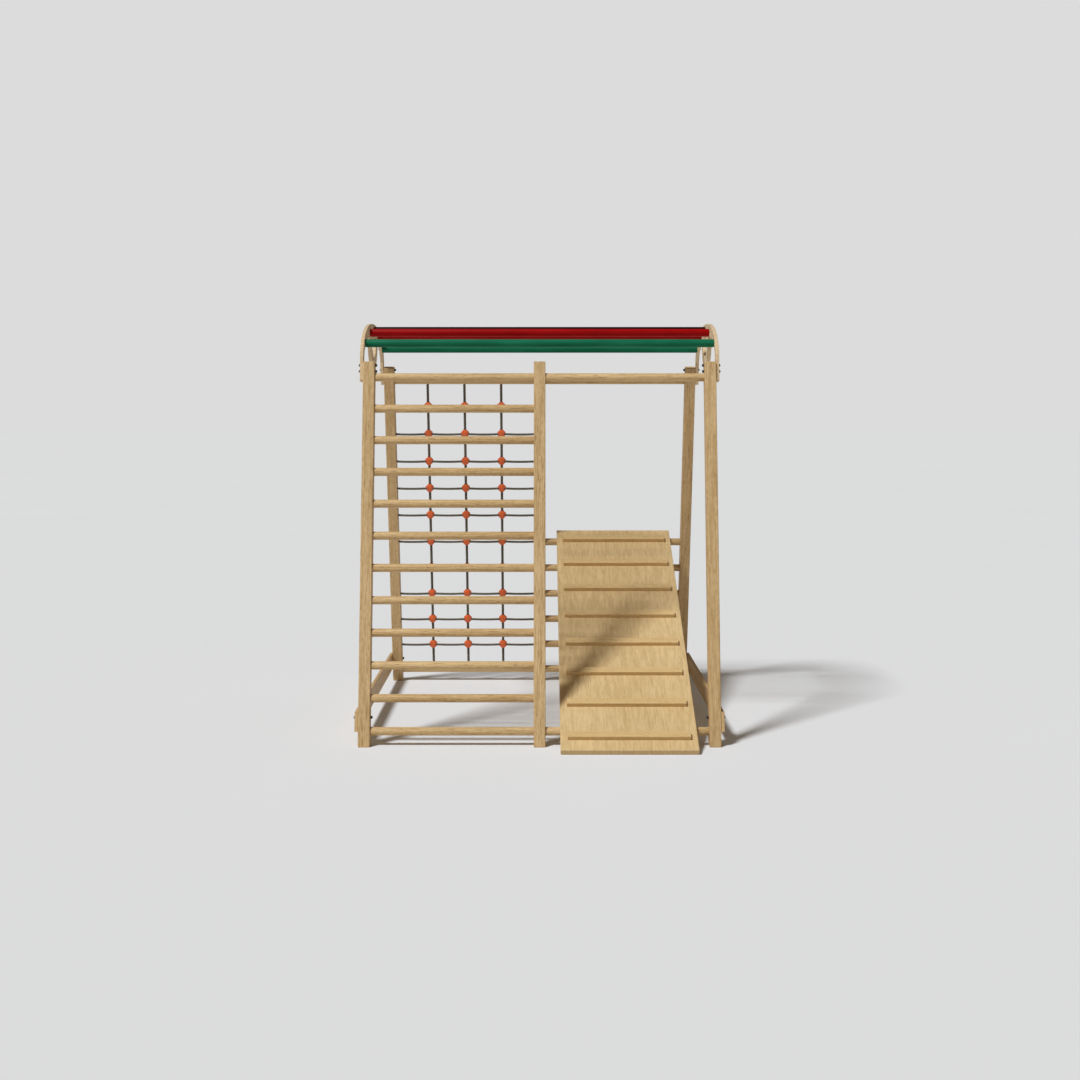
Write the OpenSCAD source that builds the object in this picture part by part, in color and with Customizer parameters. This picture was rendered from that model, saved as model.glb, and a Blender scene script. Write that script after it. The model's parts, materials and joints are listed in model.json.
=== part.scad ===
// Wooden climbing frame for toddlers: two leaning ladder frames joined by arches
// at the top and rails at the bottom, a rope net, five bars to hang from, and a
// cleated ramp that hooks over a rung. Millimetres, +Z up, X across the width,
// the ramp's toe at -Y. The origin is on the floor at the middle of the whole
// object's box. "Front" is the frame at the toe of the ramp.

/* [Frame] */
// Width over the outer faces of the end posts
frame_w = 1214; // [960:2:1500]
// Depth on the floor, from the front feet's front edge to the back feet's back edge
frame_d = 1260; // [1080:5:1520]
// Length of a post along its outer face
post_len = 1316; // [1316:2:1600]
// Side of a post's square section
post_w = 40; // [34:1:60]
// Lean of both ladder frames from upright, in degrees
lean = 12; // [10:0.5:14]

/* [Rungs] */
// Diameter of a rung
rung_d = 28; // [22:1:32]
// Distance between rungs along the posts
rung_pitch = 110; // [90:1:112]
// Distance along the post from its foot to the first rung
rung_start = 54; // [45:1:65]
// Depth of a rung's end in its post
rung_seat = 18; // [12:1:19]
// Gap all round between a rung and its hole, filled with glue
rung_fit = 0.1; // [0.05:0.05:0.3]

/* [Arches and bars] */
// Thickness of the arch plates and the side rails
plate_t = 12; // [9:1:18]
// Height of the arch's crown above the post tops
arch_rise = 144; // [120:1:200]
// Width of the arch at its crown
arch_crown_w = 42; // [36:1:60]
// Width of the arch where it meets the posts
arch_leg_w = 31; // [26:1:34]
// Distance of the arch's outer edge in from the post's outer face
arch_setback = 9; // [4:1:12]
// Length of the arch's legs down the posts
arch_leg_len = 66; // [60:1:90]
// Outer radius of the half ring that hangs under the crown
loop_r = 117; // [90:1:125]
// Inner radius of that half ring
loop_hole_r = 73; // [50:1:80]
// Distance of the half ring's hole below the underside of the crown
loop_hole_drop = 16; // [4:1:24]
// Diameter of a bar
bar_d = 28; // [22:1:32]
// Distance of the second and fourth bars from the crown
bar_near = 128; // [110:1:150]
// Distance of the first and last bars from the crown
bar_far = 280; // [250:1:290]

/* [Side rails] */
// Height of a side rail
rail_h = 65; // [50:1:90]
// Height of a side rail's lower edge above the floor
rail_z = 50; // [30:1:60]
// Distance of a rail's ends in from the posts' outer faces
rail_setback = 3; // [0:1:8]

/* [Ramp] */
// Length of the ramp's board past the rung that carries it
ramp_past_rung = 37.2; // [35:0.2:60]
// Width of the ramp's board
ramp_w = 454; // [360:2:480]
// Thickness of the ramp's board
ramp_t = 18; // [15:1:24]
// Gap between the ramp's underside and the front frame's first rung
ramp_front_gap = 1.3; // [1:0.1:6]
// Sideways place of the ramp from the middle of its bay
ramp_shift = 2; // [-10:1:10]
// The rung that carries the ramp, counted from the floor
ramp_rung = 6; // [6:1:6]
// Gap all round between the hooks and the rung
hook_gap = 0.5; // [0.3:0.1:1]
// Thickness of a hook block
hook_t = 18; // [12:1:24]
// Wood on each side of a hook's notch
hook_cheek = 18; // [14:1:20]
// How far a hook block reaches below the middle of its rung
hook_drop = 22; // [16:1:30]
// Depth that a hook block is let into the board
hook_let_in = 6; // [4:1:7]
// Gap round a hook block in its pocket in the board, filled with glue
pocket_fit = 0.1; // [0.05:0.05:0.3]
// Number of cleats
cleat_count = 8; // [6:1:8]
// Distance of the first cleat from the toe
cleat_start = 53; // [40:1:60]
// Distance of the last cleat's lower edge from the board's top end
cleat_end = 91; // [88:1:120]
// Distance of a cleat's ends from the board's edges
cleat_inset = 24; // [10:1:60]
// Width of a cleat along the ramp
cleat_w = 30; // [12:1:40]
// Height of a cleat above the board
cleat_h = 14; // [12:1:20]

/* [Net] */
// Diameter of the upright ropes
upright_d = 11; // [8:0.5:12]
// Diameter of the cross ropes
cross_d = 9.5; // [6:0.5:10]
// Height of the lowest cross rope above the second rung, along the posts
net_lift = 2.5; // [0:0.5:6]
// How much further apart the cross ropes are than the rungs
net_spread = 0.8; // [0:0.1:1.5]
// Number of upright ropes
upright_count = 3; // [2:1:4]
// Depth of the ropes' ends in the posts
rope_seat = 16; // [10:1:18]
// Overall size of a rope connector
connector_size = 32; // [28:1:44]
// Wall of a connector round its ropes
connector_wall = 2.8; // [2:0.2:4]
// Gap all round between a rope and what it passes through
rope_gap = 0.3; // [0.2:0.1:0.5]

/* [Fasteners] */
// Diameter of the frame bolts
bolt_d = 6; // [5:1:8]
// Diameter of a bolt's head
bolt_head_d = 11; // [9:0.5:14]
// Height of a bolt's head
bolt_head_h = 4.5; // [3:0.5:6]
// Height of a cap nut
nut_h = 7; // [5:0.5:9]
// Distance of the upper arch bolt from the post's top end
arch_bolt_top = 10; // [9:0.5:14]
// Distance between the two arch bolts on a post
arch_bolt_pitch = 21; // [18:0.5:24]
// Height of the rail bolts above the rail's lower edge
rail_bolt_up = 44; // [20:1:50]
// Diameter of the wood screws
screw_d = 4; // [3:0.5:5]
// Diameter of a wood screw's head
screw_head_d = 8; // [6:0.5:10]
// Height of a wood screw's head
screw_head_h = 3; // [2:0.5:4]
// How far a screw's end stops inside the second piece
screw_grip = 9; // [6:1:10]
// Gap all round between a bolt or screw and its hole
screw_gap = 0.1; // [0.05:0.05:0.3]

/* [Hidden] */
FRONT = -1;
BACK = 1;
LEFT = -1;
RIGHT = 1;
$fn = 48;
past = 1;

rung_count = 12;
top_rung = rung_count;
bay_w = (frame_w - 3 * post_w) / 2;
bay_x = (bay_w + post_w) / 2;
end_post_x = (frame_w - post_w) / 2;
post_top_z = post_len * cos(lean);

// Rungs in each bay, counted from the floor
front_left_rungs = [1:top_rung];
front_right_rungs = [1, top_rung];
back_left_rungs = [1, top_rung];
back_right_rungs = [1, 2, 3, 4, 5, ramp_rung, top_rung];

// Ramp: its underside passes just above its rung and the front frame's first rung,
// and down to the floor at the toe
hook_r = rung_d / 2 + hook_gap;
under_r = rung_d / 2 + ramp_front_gap;
ramp_rung_place = on_post(BACK, rung_along(ramp_rung), post_w / 2);
under_rung_place = on_post(FRONT, rung_along(1), post_w / 2);
rung_to_rung = ramp_rung_place - under_rung_place;
ramp_slope = atan2(rung_to_rung[1], rung_to_rung[0]) + asin((hook_r - under_r) / norm(rung_to_rung));
toe_y = under_rung_place[0] - under_r * sin(ramp_slope)
    - (under_rung_place[1] + under_r * cos(ramp_slope)) / tan(ramp_slope);
toe_reach = -toe_y - frame_d / 2;
ramp_rung_along = sqrt(norm([ramp_rung_place[0] - toe_y, ramp_rung_place[1]]) ^ 2 - hook_r ^ 2);
ramp_len = ramp_rung_along + ramp_past_rung;
ramp_x = bay_x + ramp_shift;
cleat_pitch = (ramp_len - cleat_start - cleat_end) / (cleat_count - 1);
cleat_len = ramp_w - 2 * cleat_inset;
hook_x = ramp_w / 2 - 50;
cleat_screw_x = cleat_len / 2 - 40;

// The frame's middle stands behind the origin, because the toe reaches forward
middle_y = (toe_reach + ramp_t * sin(ramp_slope)) / 2;

// Arch: a flattened half oval between the post tops
oval_power = 2.2;
arch_half = post_half_depth(post_top_z) - arch_setback / cos(lean);
arch_inner_half = arch_half - arch_leg_w / cos(lean);
arch_inner_rise = arch_rise - arch_crown_w;
loop_z = post_top_z + arch_inner_rise - 4;
loop_hole_z = post_top_z + arch_inner_rise - loop_hole_drop;
bar_offsets = [-bar_far, -bar_near, 0, bar_near, bar_far];
bar_drops = [28, 29, 23, 29, 28];
bar_screw_len = 36;

// Net: cross ropes lie against the inner side of the upright ropes
upright_depth = post_w / 2;
cross_depth = upright_depth + (upright_d + cross_d) / 2 + rope_gap;
net_rows = [2:top_rung - 1];
upright_pitch = 143.7;
upright_seat = 6;
net_x = -bay_x - 1;

pine = "#b99d73";
beech = "#bea278";
plywood = "#cdb080";
ramp_wood = "#c8ac7a";
green = "#3c7d5f";
red = "#96191e";
rope_brown = "#5a5546";
orange = "#d75528";
black = "#1c1c1e";
zinc = "#b8b8b4";
bar_colours = [green, red, black, red, green];

// [y, z] of a point on a ladder frame, from the frame's middle: along the post
// from its foot, and deep in from its outer face
function on_post(face, along, deep) = [
    face * (frame_d / 2 - along * sin(lean) - deep * cos(lean)),
    along * cos(lean) - deep * sin(lean)];

// Distance of the posts' outer faces from the frame's middle at a height
function post_half_depth(z) = frame_d / 2 - z * tan(lean);

// Distance of a rung from the foot, along the post
function rung_along(k) = rung_start + (k - 1) * rung_pitch;

// Distance of a cross rope from the foot, along the post
function net_along(k) = rung_along(k) + net_lift + (k - 2) * net_spread;

// Distance along the post of the point at a height, in the middle of the post
function along_at(z) = (z + post_w / 2 * sin(lean)) / cos(lean);

// Height of an oval of half width a and rise b above its base, at an offset
function oval_height(a, b, offset) = b * (1 - (abs(offset) / a) ^ oval_power) ^ (1 / oval_power);

// Outline of the upper half of that oval
function oval_points(a, b, steps = 72) = [
    for (i = [0:steps])
        let (turn = 180 * i / steps, e = 2 / oval_power)
        [a * sign(cos(turn)) * abs(cos(turn)) ^ e, b * sin(turn) ^ e]];

// Place in the yz plane along X: children are drawn with their axis along +X
module at_yz(x, yz) {
    translate([x, middle_y + yz[0], yz[1]]) rotate([0, 90, 0]) children();
}

// A cylinder along X that starts at x
module rod_x(x, yz, length, d) {
    at_yz(x, yz) cylinder(h = length, d = d);
}

// A plate in the yz plane, thick along +X from x
module plate_yz(x, thick) {
    translate([x, middle_y, 0]) rotate([90, 0, 90]) linear_extrude(thick) children();
}

// Lays children, drawn along +Z at the foot of a post's outer face, along a post
module along_post(face, x) {
    translate([x, middle_y + face * frame_d / 2, 0]) rotate([face * lean, 0, 0]) children();
}

// Lays children, drawn flat with +Y up the ramp from its toe, on the ramp's underside
module on_ramp() {
    translate([ramp_x, middle_y + toe_y, 0]) rotate([ramp_slope, 0, 0]) children();
}

/* Ladder frames */

module post_blank(face, x) {
    foot = post_w / cos(lean);
    plate_yz(x - post_w / 2, post_w) polygon([
        [face * frame_d / 2, 0],
        on_post(face, post_len, 0),
        on_post(face, post_len, post_w),
        [face * (frame_d / 2 - foot), 0]]);
}

module rung_holes(face, x, side, rungs) {
    start = side == LEFT ? x - post_w / 2 - past : x + post_w / 2 - rung_seat;
    for (k = rungs)
        rod_x(start, on_post(face, rung_along(k), post_w / 2),
              rung_seat + past, rung_d + 2 * rung_fit);
}

module cross_rope_holes(x, side) {
    start = side == LEFT ? x - post_w / 2 - past : x + post_w / 2 - rope_seat;
    for (k = net_rows)
        rod_x(start, on_post(BACK, net_along(k), cross_depth),
              rope_seat + past, cross_d + 2 * rope_gap);
}

module frame_bolt_holes(face, x) {
    for (along = arch_bolt_alongs())
        rod_x(x - post_w, on_post(face, along, post_w / 2), 2 * post_w, bolt_d + 2 * screw_gap);
    rod_x(x - post_w, rail_bolt_place(face), 2 * post_w, bolt_d + 2 * screw_gap);
}

module post_front_left() color(pine) difference() {
    post_blank(FRONT, -end_post_x);
    rung_holes(FRONT, -end_post_x, RIGHT, front_left_rungs);
    frame_bolt_holes(FRONT, -end_post_x);
}

module post_front_centre() color(pine) difference() {
    post_blank(FRONT, 0);
    rung_holes(FRONT, 0, LEFT, front_left_rungs);
    rung_holes(FRONT, 0, RIGHT, front_right_rungs);
}

module post_front_right() color(pine) difference() {
    post_blank(FRONT, end_post_x);
    rung_holes(FRONT, end_post_x, LEFT, front_right_rungs);
    frame_bolt_holes(FRONT, end_post_x);
}

module post_back_left() color(pine) difference() {
    post_blank(BACK, -end_post_x);
    rung_holes(BACK, -end_post_x, RIGHT, back_left_rungs);
    cross_rope_holes(-end_post_x, RIGHT);
    frame_bolt_holes(BACK, -end_post_x);
}

module post_back_centre() color(pine) difference() {
    post_blank(BACK, 0);
    rung_holes(BACK, 0, LEFT, back_left_rungs);
    rung_holes(BACK, 0, RIGHT, back_right_rungs);
    cross_rope_holes(0, LEFT);
}

module post_back_right() color(pine) difference() {
    post_blank(BACK, end_post_x);
    rung_holes(BACK, end_post_x, LEFT, back_right_rungs);
    frame_bolt_holes(BACK, end_post_x);
}

module rung(face, bay, k) color(beech) {
    length = bay_w + 2 * rung_seat;
    rod_x(bay * bay_x - length / 2, on_post(face, rung_along(k), post_w / 2), length, rung_d);
}

// A rung that the upright ropes end in: the holes are open towards the net
module roped_rung(k) color(beech) difference() {
    rung(BACK, LEFT, k);
    for (x = upright_xs())
        along_post(BACK, x)
            translate([0, -upright_depth, rung_along(k) + (k == 1 ? -1 : 1) * rung_rope_end()])
                mirror([0, 0, k == 1 ? 0 : 1])
                    cylinder(h = rung_d, d = upright_d + 2 * rope_gap);
}

/* Arches, bars and side rails */

module oval_plate(x, a, b, thick) {
    plate_yz(x, thick) translate([0, post_top_z]) polygon(oval_points(a, b));
}

// One leg of an arch, down the outer face of a post
module arch_leg(face, x) {
    outer = arch_setback;
    inner = arch_setback + arch_leg_w;
    plate_yz(x, plate_t) polygon([
        [face * arch_half, post_top_z],
        on_post(face, post_len - arch_leg_len, outer),
        on_post(face, post_len - arch_leg_len, inner),
        [face * arch_inner_half, post_top_z]]);
}

module arch_plate(x) difference() {
    union() {
        difference() {
            oval_plate(x, arch_half, arch_rise, plate_t);
            oval_plate(x - past, arch_inner_half, arch_inner_rise, plate_t + 2 * past);
        }
        for (face = [FRONT, BACK]) arch_leg(face, x);
        intersection() {
            rod_x(x, [0, loop_z], plate_t, 2 * loop_r);
            oval_plate_below(x);
        }
    }
    intersection() {
        rod_x(x - past, [0, loop_z], plate_t + 2 * past, 2 * loop_hole_r);
        translate([x - past, middle_y - loop_r, loop_hole_z - 2 * loop_r])
            cube([plate_t + 2 * past, 2 * loop_r, 2 * loop_r]);
    }
    for (i = [0:4])
        rod_x(x - past, bar_place(i), plate_t + 2 * past, screw_d + 2 * screw_gap);
    for (face = [FRONT, BACK], along = arch_bolt_alongs())
        rod_x(x - past, on_post(face, along, post_w / 2), plate_t + 2 * past,
              bolt_d + 2 * screw_gap);
}

// All of the yz plane up to the middle of the arch's band, as a plate
module oval_plate_below(x) {
    band = arch_crown_w / 2;
    oval_plate(x, arch_half - band, arch_rise - band, plate_t);
    translate([x, middle_y - loop_r, post_top_z - loop_r]) cube([plate_t, 2 * loop_r, loop_r]);
}

module arch_left() color(plywood) arch_plate(-frame_w / 2 - plate_t);
module arch_right() color(plywood) arch_plate(frame_w / 2);

module top_bar(i) color(bar_colours[i]) difference() {
    rod_x(-frame_w / 2, bar_place(i), frame_w, bar_d);
    for (side = [LEFT, RIGHT])
        rod_x(side * frame_w / 2 - bar_screw_len, bar_place(i), 2 * bar_screw_len,
              screw_d + 2 * screw_gap);
}

module side_rail(x) color(plywood) difference() {
    low = rail_z;
    high = rail_z + rail_h;
    plate_yz(x, plate_t) polygon([
        [-post_half_depth(low) + rail_setback, low],
        [post_half_depth(low) - rail_setback, low],
        [post_half_depth(high) - rail_setback, high],
        [-post_half_depth(high) + rail_setback, high]]);
    for (face = [FRONT, BACK])
        rod_x(x - past, rail_bolt_place(face), plate_t + 2 * past, bolt_d + 2 * screw_gap);
}

module side_rail_left() side_rail(-frame_w / 2 - plate_t);
module side_rail_right() side_rail(frame_w / 2);

// [y, z] of a bar's middle
function bar_place(i) = [
    bar_offsets[i],
    post_top_z + oval_height(arch_half, arch_rise, bar_offsets[i]) - bar_drops[i]];

/* Ramp */

module ramp_board() color(ramp_wood) on_ramp() difference() {
    translate([-ramp_w / 2, 0, 0]) cube([ramp_w, ramp_len, ramp_t]);
    for (i = [1:cleat_count], side = [LEFT, RIGHT])
        translate([side * cleat_screw_x, cleat_middle(i), 0]) {
            translate([0, 0, -past]) cylinder(h = ramp_t + 2 * past, d = screw_d + 2 * screw_gap);
            translate([0, 0, -past]) cylinder(h = screw_head_h + past, d = screw_head_d + 2 * screw_gap);
        }
    for (side = [LEFT, RIGHT]) {
        translate([0, 0, -past]) hook_blank(side, hook_let_in + past, pocket_fit);
        for (end = [-1, 1])
            translate([side * hook_x, ramp_rung_along + end * hook_screw_along(), 0])
                cylinder(h = hook_let_in + screw_grip, d = screw_d + 2 * screw_gap);
    }
}

module ramp_cleat(i) color(beech) on_ramp() difference() {
    translate([-cleat_len / 2, cleat_start + (i - 1) * cleat_pitch, ramp_t])
        cube([cleat_len, cleat_w, cleat_h]);
    for (side = [LEFT, RIGHT])
        translate([side * cleat_screw_x, cleat_middle(i), ramp_t - past])
            cylinder(h = screw_grip + past, d = screw_d + 2 * screw_gap);
}

// The plain block that a hook is cut from, with extra all round, on z = 0
module hook_blank(side, height, extra) {
    half = hook_r + hook_cheek + extra;
    translate([side * hook_x - hook_t / 2 - extra, ramp_rung_along - half, 0])
        cube([hook_t + 2 * extra, 2 * half, height]);
}

// A block under the board with a round-topped notch that drops over the rung
module ramp_hook(side) color(plywood) on_ramp() difference() {
    translate([0, 0, -hook_r - hook_drop])
        hook_blank(side, hook_r + hook_drop + hook_let_in, 0);
    translate([side * hook_x - hook_t / 2 - past, ramp_rung_along, -hook_r])
        rotate([0, 90, 0]) cylinder(h = hook_t + 2 * past, r = hook_r);
    translate([side * hook_x - hook_t / 2 - past, ramp_rung_along - hook_r, -hook_r - hook_drop - past])
        cube([hook_t + 2 * past, 2 * hook_r, hook_drop + past]);
    for (end = [-1, 1])
        translate([side * hook_x, ramp_rung_along + end * hook_screw_along(), -hook_r - hook_drop - past]) {
            cylinder(h = hook_r + hook_drop + hook_let_in + 2 * past, d = screw_d + 2 * screw_gap);
            cylinder(h = screw_head_h + past, d = screw_head_d + 2 * screw_gap);
        }
}

module ramp_hook_left() ramp_hook(LEFT);
module ramp_hook_right() ramp_hook(RIGHT);

function cleat_middle(i) = cleat_start + (i - 1) * cleat_pitch + cleat_w / 2;
function hook_screw_along() = hook_r + hook_cheek / 2;

/* Net */

function upright_xs() = [
    for (i = [0:upright_count - 1]) net_x + (i - (upright_count - 1) / 2) * upright_pitch];

// Distance of an upright rope's end past the middle of the rung it ends in
function rung_rope_end() = rung_d / 2 - upright_seat;

module net_upright_ropes() color(rope_brown)
    for (x = upright_xs())
        along_post(BACK, x)
            translate([0, -upright_depth, rung_along(1) - rung_rope_end()])
                cylinder(h = rung_along(top_rung) - rung_along(1) + 2 * rung_rope_end(), d = upright_d);

module net_cross_ropes() color(rope_brown)
    for (k = net_rows)
        rod_x(-end_post_x + post_w / 2 - rope_seat, on_post(BACK, net_along(k), cross_depth),
              bay_w + 2 * rope_seat, cross_d);

// A moulded cross that grips an upright rope and a cross rope where they meet
module net_connector(x, k) {
    upright_wall_d = upright_d + 2 * (rope_gap + connector_wall);
    cross_wall_d = cross_d + 2 * (rope_gap + connector_wall);
    middle_depth = (upright_depth + cross_depth) / 2;
    along_post(BACK, x) translate([0, 0, net_along(k)]) difference() {
        union() {
            translate([0, -upright_depth, -connector_size / 2])
                cylinder(h = connector_size, d = upright_wall_d);
            translate([-connector_size / 2, -cross_depth, 0])
                rotate([0, 90, 0]) cylinder(h = connector_size, d = cross_wall_d);
            translate([0, -middle_depth, 0]) rotate([90, 0, 0])
                cylinder(h = cross_depth - upright_depth + cross_d, d = connector_size * 0.72, center = true);
        }
        translate([0, -upright_depth, -connector_size])
            cylinder(h = 2 * connector_size, d = upright_d + 2 * rope_gap);
        translate([-connector_size, -cross_depth, 0])
            rotate([0, 90, 0]) cylinder(h = 2 * connector_size, d = cross_d + 2 * rope_gap);
    }
}

module net_connectors() color(orange)
    for (x = upright_xs(), k = net_rows) net_connector(x, k);

/* Fasteners */

function arch_bolt_alongs() = [
    post_len - arch_bolt_top, post_len - arch_bolt_top - arch_bolt_pitch];

function rail_bolt_place(face) = on_post(face, along_at(rail_z + rail_bolt_up), post_w / 2);

// A bolt from outside through a plate and an end post, its head outwards
module frame_bolt(side, yz) {
    outer = frame_w / 2 + plate_t;
    inner = frame_w / 2 - post_w;
    mirror([side == LEFT ? 1 : 0, 0, 0]) {
        rod_x(inner - nut_h / 2, yz, outer - inner + nut_h / 2, bolt_d);
        rod_x(outer, yz, bolt_head_h, bolt_head_d);
    }
}

// The cap nut on the inner face of an end post
module frame_nut(side, yz) {
    inner = frame_w / 2 - post_w;
    mirror([side == LEFT ? 1 : 0, 0, 0]) difference() {
        at_yz(inner, yz) mirror([0, 0, 1]) {
            cylinder(h = nut_h * 0.6, d = bolt_head_d, $fn = 6);
            cylinder(h = nut_h, d = bolt_head_d * 0.78);
        }
        rod_x(inner - nut_h / 2, yz, nut_h, bolt_d);
    }
}

module arch_bolts() color(black)
    for (side = [LEFT, RIGHT], face = [FRONT, BACK], along = arch_bolt_alongs())
        frame_bolt(side, on_post(face, along, post_w / 2));

module arch_nuts() color(black)
    for (side = [LEFT, RIGHT], face = [FRONT, BACK], along = arch_bolt_alongs())
        frame_nut(side, on_post(face, along, post_w / 2));

module rail_bolts() color(black)
    for (side = [LEFT, RIGHT], face = [FRONT, BACK]) frame_bolt(side, rail_bolt_place(face));

module rail_nuts() color(black)
    for (side = [LEFT, RIGHT], face = [FRONT, BACK]) frame_nut(side, rail_bolt_place(face));

module bar_screws() color(black)
    for (side = [LEFT, RIGHT], i = [0:4]) mirror([side == LEFT ? 1 : 0, 0, 0]) {
        rod_x(frame_w / 2 - bar_screw_len, bar_place(i), bar_screw_len + plate_t, screw_d);
        rod_x(frame_w / 2 + plate_t, bar_place(i), screw_head_h, screw_head_d);
    }

module wood_screw(length) {
    cylinder(h = length, d = screw_d);
    cylinder(h = screw_head_h, d = screw_head_d);
}

module cleat_screws() color(zinc) on_ramp()
    for (i = [1:cleat_count], side = [LEFT, RIGHT])
        translate([side * cleat_screw_x, cleat_middle(i), 0]) wood_screw(ramp_t + screw_grip);

module hook_screws() color(zinc) on_ramp()
    for (side = [LEFT, RIGHT], end = [-1, 1])
        translate([side * hook_x, ramp_rung_along + end * hook_screw_along(), -hook_r - hook_drop])
            wood_screw(hook_r + hook_drop + hook_let_in + screw_grip);

post_front_left();
post_front_centre();
post_front_right();
post_back_left();
post_back_centre();
post_back_right();
for (k = front_left_rungs)
    rung(FRONT, LEFT, k);
for (k = front_right_rungs)
    rung(FRONT, RIGHT, k);
for (k = back_left_rungs)
    roped_rung(k);
for (k = back_right_rungs)
    rung(BACK, RIGHT, k);
arch_left();
arch_right();
for (i = [0:4])
    top_bar(i);
side_rail_left();
side_rail_right();
ramp_board();
for (i = [1:cleat_count])
    ramp_cleat(i);
ramp_hook_left();
ramp_hook_right();
net_upright_ropes();
net_cross_ropes();
net_connectors();
arch_bolts();
arch_nuts();
rail_bolts();
rail_nuts();
bar_screws();
cleat_screws();
hook_screws();
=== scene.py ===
"""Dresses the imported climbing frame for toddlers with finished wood, paint, rope and fittings.

The frame's own box and nodes give every place. Lengths are in metres, +Z is up, and the front
ladder and the ramp's toe face -Y.
"""
import json
import logging
import math
import random
from dataclasses import dataclass, field
from enum import Enum
from typing import Any, Optional, Sequence, Union

import bmesh
import bpy
from mathutils import Matrix, Vector


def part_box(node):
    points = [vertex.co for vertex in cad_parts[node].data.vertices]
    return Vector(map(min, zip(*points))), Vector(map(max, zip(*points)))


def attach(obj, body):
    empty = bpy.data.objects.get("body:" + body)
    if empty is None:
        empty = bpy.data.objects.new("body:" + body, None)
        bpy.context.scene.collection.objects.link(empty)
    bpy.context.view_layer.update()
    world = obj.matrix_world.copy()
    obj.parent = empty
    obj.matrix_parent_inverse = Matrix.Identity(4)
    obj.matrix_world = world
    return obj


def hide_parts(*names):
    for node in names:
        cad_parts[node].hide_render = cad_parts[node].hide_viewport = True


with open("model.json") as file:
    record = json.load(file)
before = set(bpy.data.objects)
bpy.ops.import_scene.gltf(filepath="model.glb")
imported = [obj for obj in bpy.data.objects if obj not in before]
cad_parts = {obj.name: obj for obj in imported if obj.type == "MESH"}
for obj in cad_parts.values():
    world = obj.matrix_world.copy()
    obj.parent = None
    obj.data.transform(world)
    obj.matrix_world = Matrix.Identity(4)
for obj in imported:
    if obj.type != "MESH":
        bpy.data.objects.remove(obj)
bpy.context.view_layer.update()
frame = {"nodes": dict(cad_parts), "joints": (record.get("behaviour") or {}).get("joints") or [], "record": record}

log = logging.getLogger("climbing_frame")

Number = Union[int, float]
Colour = tuple[float, float, float]
Point2 = tuple[float, float]
Scale = tuple[float, float, float]     # blobs of noise per metre along X, Y and Z
Range = tuple[float, float]            # where a smooth step starts and where it ends

GRAIN = "grain"          # the attribute that holds a piece's own coordinates, grain along Z
FULL_TURN = 2 * math.pi
LOG_REACH = 20.0         # how far along the grain a piece's figure may start
SHEET_REACH = 3.0        # how far across a sheet of plywood it may start
ROD_SPREAD = 0.05        # how far from the heart a rung or bar may have been cut
SAWN_CREASE = 35.0       # edges sharper than this, in degrees, stay sharp on sawn wood
SHEET_CREASE = 40.0      # likewise on plates cut from a sheet
STEEL_CREASE = 35.0      # likewise on screws and nuts
ROUND_CREASE = 40.0      # likewise on turned rods and bolts
BAR_SIDES = 48           # flats round a rung or bar
DRILL_SIDES = 40         # flats round a rung's hole
HEAD_SIDES = 32          # flats round a bolt's head or a nut's cap
SMALL_SIDES = 24         # flats round a screw, its seat or a rope's hole
HEXAGON = 6


class Face(Enum):
    """Which ladder frame a piece belongs to, with its side of the middle as the value."""

    FRONT = -1
    BACK = 1


class Along(Enum):
    """The direction of a piece's grain in its own frame, before it is put in its place."""

    X = "x"
    Y = "y"
    Z = "z"


# Shader building ------------------------------------------------------------------------------


class Wire:
    """A number or colour on its way through a material. Python's operators add Math nodes."""

    def __init__(self, shader: "Shader", socket: bpy.types.NodeSocket) -> None:
        """Keeps the socket that the value comes out of.

        Args:
            shader: the material being built.
            socket: the output socket.
        """
        self.shader = shader
        self.socket = socket

    def _math(self, operation: str, *values: Union["Wire", Number]) -> "Wire":
        """Adds one Math node.

        Args:
            operation: the Math node's operation.
            values: its inputs, in order.

        Returns:
            The node's result.
        """
        return self.shader.node("ShaderNodeMath", dict(enumerate(values)), operation=operation)

    def __add__(self, other: Union["Wire", Number]) -> "Wire":
        """self + other."""
        return self._math("ADD", self, other)

    def __radd__(self, other: Number) -> "Wire":
        """other + self."""
        return self._math("ADD", other, self)

    def __sub__(self, other: Union["Wire", Number]) -> "Wire":
        """self - other."""
        return self._math("SUBTRACT", self, other)

    def __rsub__(self, other: Number) -> "Wire":
        """other - self."""
        return self._math("SUBTRACT", other, self)

    def __mul__(self, other: Union["Wire", Number]) -> "Wire":
        """self * other."""
        return self._math("MULTIPLY", self, other)

    def __rmul__(self, other: Number) -> "Wire":
        """other * self."""
        return self._math("MULTIPLY", other, self)

    def __truediv__(self, other: Union["Wire", Number]) -> "Wire":
        """self / other."""
        return self._math("DIVIDE", self, other)

    def __mod__(self, other: Number) -> "Wire":
        """self modulo other, which is above 0 for a negative self too."""
        return self._math("FLOORED_MODULO", self, other)

    def sine(self) -> "Wire":
        """The sine of an angle in radians."""
        return self._math("SINE", self)

    def floor(self) -> "Wire":
        """The whole number below."""
        return self._math("FLOOR", self)

    def between(self, low: float, high: float) -> "Wire":
        """Rises smoothly from 0 at low to 1 at high.

        Args:
            low: where the result is 0.
            high: where the result is 1.

        Returns:
            The eased share.
        """
        return self.shader.node(
            "ShaderNodeMapRange",
            {"Value": self, "From Min": low, "From Max": high},
            interpolation_type="SMOOTHSTEP")


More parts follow.
